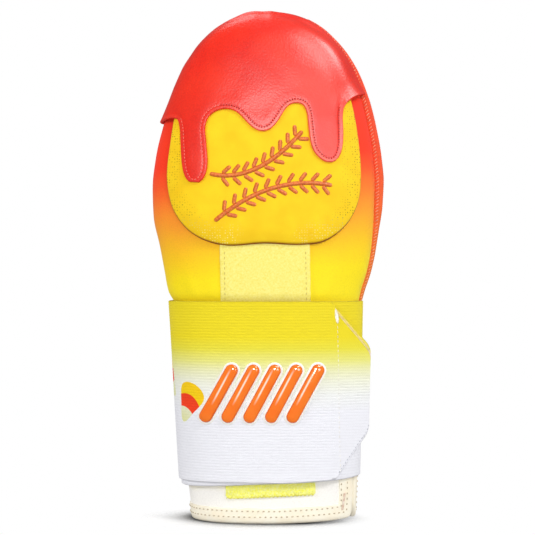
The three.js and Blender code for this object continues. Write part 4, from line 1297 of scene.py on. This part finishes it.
moulded_nylon = mottled(
    "moulded nylon hook", {"Scale": 700.0, "Detail": 2.0}, [(0.3, "e9e9e6"), (0.7, "fafaf8")],
    0.3, 0.0002, Roughness=0.45, IOR=1.53)

hook_columns = [len(wound_u) + k for k, share in enumerate(TAB_SHARES) if share > HOOK["from"]]
ground, hooks = [], []
for column in hook_columns:
    low, high = strap_edges[column] + (HOOK["inset"], -HOOK["inset"])
    z = np.linspace(low, high, 40)
    ground += [strap_point(column, z, -0.15), strap_point(column, z[::-1], -0.15 - HOOK["ground"])]
    z = np.arange(low + 1, high - 1, HOOK["pitch"])
    foot = strap_point(column, z, -0.1 - HOOK["ground"])
    tip = strap_point(column, z + 0.5, -0.2 - HOOK["ground"] - HOOK["hook"])
    hooks.append(legs(foot, tip, (0.0, 0.0, 1.0), 0.16, 0.2))
ground = (np.concatenate(ground), tube(len(hook_columns), 80, inside_out=True))
hook_patch = add_piece("hook_patch_tape", moulded_nylon, *gathered([ground, *hooks[:-1]]))
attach(hook_patch, "root")
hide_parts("hook_patch")

# Badge
# Five slanted bars of clear-domed orange gel, each on a thin white film heat-pressed on the strap's
# front. The film shows round the bars as a narrow white rim.

BADGE = {"x": -3.0, "z": 77.0, "bars": 5, "pitch": 12.4, "length": 38.0, "width": 7.4, "slant": 28}
FILM_RIM = 1.2
STRAP_OUT = ELASTIC + LAP + RIB_DEPTH * 0.6  # the upper layer's face over the strap's form


def strap_base(u, v):
    return strap_section(u, 20 + 114 * v)


def bar_place(i, points):
    """Points' places across and along one slanted bar, from its middle."""
    slant = math.radians(BADGE["slant"])
    x = points[..., 0] - BADGE["x"] - (i - (BADGE["bars"] - 1) / 2) * BADGE["pitch"]
    z = points[..., 2] - BADGE["z"]
    return x * math.cos(slant) - z * math.sin(slant), x * math.sin(slant) + z * math.cos(slant)


def in_bar(i, points, margin):
    """Distance in from the edge of one bar, which has round ends."""
    across, along = bar_place(i, points)
    half = BADGE["width"] / 2
    beyond = np.maximum(np.abs(along) - (BADGE["length"] / 2 - half), 0)
    return np.where(points[..., 1] < 0, half + margin - np.hypot(across, beyond), FAR_OUTSIDE)


# Polyester film under thermoplastic urethane: satin white where bare.
badge_film = mottled(
    "white polyester film", {"Scale": 400.0, "Detail": 2.0}, [(0.3, "f7f3ea"), (0.7, "fffdf8")],
    0.1, 0.0002, Roughness=0.35, IOR=1.55)

grid = (np.linspace(-0.2, 0.2, 150), (np.linspace(54, 100, 60) - 20) / 114)
badge_backing = add_piece("badge_film", badge_film, *patch(
    strap_base, lambda u, v, p: np.max([in_bar(i, p, FILM_RIM) for i in range(BADGE["bars"])], axis=0),
    *grid, 0.9, [0.6, 0.3, 0.1, 0.0],
    lambda u, v, p, distance: STRAP_OUT + 0.55 * rolled(distance, 0.5), STRAP_OUT - 0.3))
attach(badge_backing, "root")
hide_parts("badge_backing")

# Thermoplastic urethane gel over orange ink: wet-looking, domed, with sharp highlights. A pale streak
# along each bar's upper left side is a painted highlight, and painted shade darkens each bar's rim.
STREAK = {"aside": 0.0013, "ahead": -0.004}

orange_gel, node = new_material("thermoplastic urethane gel, orange")
clouds = node("TexNoise", node("TexCoord").outputs["Object"], Scale=160.0, Detail=2.0)
tint = node("ValToRGB", clouds, stops=[(0.3, "ff761e"), (0.7, "ff8226")])
rim = node("Attribute", attribute_name="edge").outputs["Fac"]
# Painted shade: the gel is darkened towards its rim, where it meets the film.
shadow = node("MapRange", rim, 0.0001, 0.0009, 0.75, 0.0)
tint_with_rim_shade = node("Mix", Factor=shadow, A=tint, B="c9501a", data_type="RGBA")
# Painted highlight: a pale streak along the bar's upper left side.
axes = node("SeparateXYZ", node("UVMap", uv_map="flat")).outputs
aside = node("Math", node("Math", axes["X"], STREAK["aside"], operation="ADD"), operation="ABSOLUTE")
aside = node("MapRange", aside, 0.0001, 0.0008, 0.9, 0.0, interpolation_type="SMOOTHSTEP")
ahead = node("Math", node("Math", axes["Y"], STREAK["ahead"], operation="ADD"), operation="ABSOLUTE")
ahead = node("MapRange", ahead, 0.005, 0.0125, 1.0, 0.0)
painted_gel_highlight = node("Math", aside, ahead, operation="MULTIPLY")
skin = node(
    "BsdfPrincipled", Base_Color=node("Mix", Factor=painted_gel_highlight, A=tint_with_rim_shade, B="fff0da", data_type="RGBA"),
    Roughness=0.12, IOR=1.5, Coat_Weight=0.6, Coat_Roughness=0.04)
node("OutputMaterial", skin)

for i in range(BADGE["bars"]):
    points, faces, edge = patch(
        strap_base, lambda u, v, p: in_bar(i, p, 0.0), *grid, 1.5,
        [1.2, 0.9, 0.65, 0.42, 0.24, 0.1, 0.02, 0.0],
        lambda u, v, p, distance: STRAP_OUT + 0.5 + 1.9 * rolled(distance, BADGE["width"] / 2),
        STRAP_OUT + 0.4)
    flat = np.stack(bar_place(i, points), axis=-1)
    bar = add_piece(f"badge_gel_{i + 1}", orange_gel, points, faces, edge, flat)
    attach(bar, "root")
    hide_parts(f"badge_bar_{i + 1}")

# Floor, light and camera
# A plain pale floor that fades into the white surround, with a painted shadow where the mitt stands on it, a
# broad soft key from the upper right and a weaker fill from the left. The camera stands level, a metre in
# front.

FLOOR_RADIUS = 1400.0
SURROUND = {"matt": 0.62, "gloss": 0.16}  # how brightly the surround lights cloth and shows in shine
LAMPS = [
    # name, place, width, watts. Four lamps light the cloth.
    ("key", (0.72, -0.69, 0.90), 0.3, 5.5), ("front", (0.40, -1.2, 0.22), 0.3, 2.4),
    ("left", (-0.88, -0.6, 0.6), 0.28, 3.6), ("top", (-0.15, 0.05, 1.25), 0.5, 2.5),
]
SOFTBOXES = [
    # These are flagged off the cloth, and only show as highlights in the leather and the gel.
    ("front", (0.02, -1.26, 0.46), 0.3, 9.5), ("right", (0.687, -1.100, 0.291), 0.5, 5.5),
    ("upper right", (0.591, -0.704, 1.119), 0.5, 8.0), ("side", (0.869, -0.030, 1.166), 0.5, 11.0),
    ("behind", (-0.18, 0.68, 1.15), 0.45, 1.3),
]
LIGHTS_AIM = (0, 0, 0.17)
CAMERA_AWAY = 1.0
CAMERA_HEIGHT = 0.1509
FRAME_WIDTH = 0.3242  # what the picture takes in at the mitt's middle

pale_floor, node = new_material("matt white paper")
place = node("TexCoord").outputs["Object"]
aside = node("VectorMath", place, (1.0, 1.5, 1.0), (0.011, 0.009, 0.0), operation="MULTIPLY_ADD")
distance = node("VectorMath", aside, operation="LENGTH")
fade = node("MapRange", distance, 0.040, 0.076, interpolation_type="SMOOTHSTEP")
# Painted shadow: the floor's colour darkens by ambient occlusion close to the mitt.
painted_shadow_ao = node("AmbientOcclusion", Distance=0.022, samples=8).outputs["AO"]
tone = node("ValToRGB", painted_shadow_ao, stops=[(0.5, "808184"), (0.72, "dadadc"), (0.95, "fafafa")])
paper = node("BsdfPrincipled", Base_Color=tone, Roughness=0.9, Specular_IOR_Level=0.1)
node("OutputMaterial", node("MixShader", fade, paper, node("BsdfTransparent")))

turn = 2 * np.pi * np.arange(64) / 64
disc = np.stack([np.cos(turn), np.sin(turn), 0 * turn], axis=-1) * FLOOR_RADIUS - SHIFT
disc[:, 2] = 0
floor = add_piece("floor", pale_floor, disc, [list(range(64))])

world = bpy.data.worlds.new("white surround")
bpy.context.scene.world = world
world.use_nodes = True
world.node_tree.nodes.clear()
node = partial(add_node, world.node_tree)
ray = node("LightPath").outputs
lighting = node("MapRange", ray["Is Glossy Ray"], 0.0, 1.0, SURROUND["matt"], SURROUND["gloss"])
strength = node("Mix", Factor=ray["Is Camera Ray"], A=lighting, B=1.0)
node("OutputWorld", node("Background", (1, 1, 1, 1), strength))

for cloth, lights in ((True, LAMPS), (False, SOFTBOXES)):
    for name, place, width, watts in lights:
        lamp = bpy.data.lights.new(name if cloth else f"softbox {name}", "AREA")
        lamp.shape, lamp.size, lamp.energy = "DISK", width, watts
        holder = bpy.data.objects.new(lamp.name, lamp)
        holder.location = place
        holder.visible_diffuse, holder.visible_glossy = cloth, not cloth
        way = Vector(LIGHTS_AIM) - Vector(place)
        holder.rotation_euler = way.to_track_quat("-Z", "Y").to_euler()
        bpy.context.scene.collection.objects.link(holder)

camera = bpy.data.objects.new("camera", bpy.data.cameras.new("camera"))
camera.data.sensor_width = 36.0
camera.data.lens = camera.data.sensor_width * CAMERA_AWAY / FRAME_WIDTH
camera.location = (SHIFT[0] / METRE, SHIFT[1] / METRE - CAMERA_AWAY, CAMERA_HEIGHT)
camera.rotation_euler = (math.radians(90), 0, 0)
bpy.context.scene.collection.objects.link(camera)
bpy.context.scene.camera = camera
bpy.context.scene.view_settings.view_transform = "Standard"
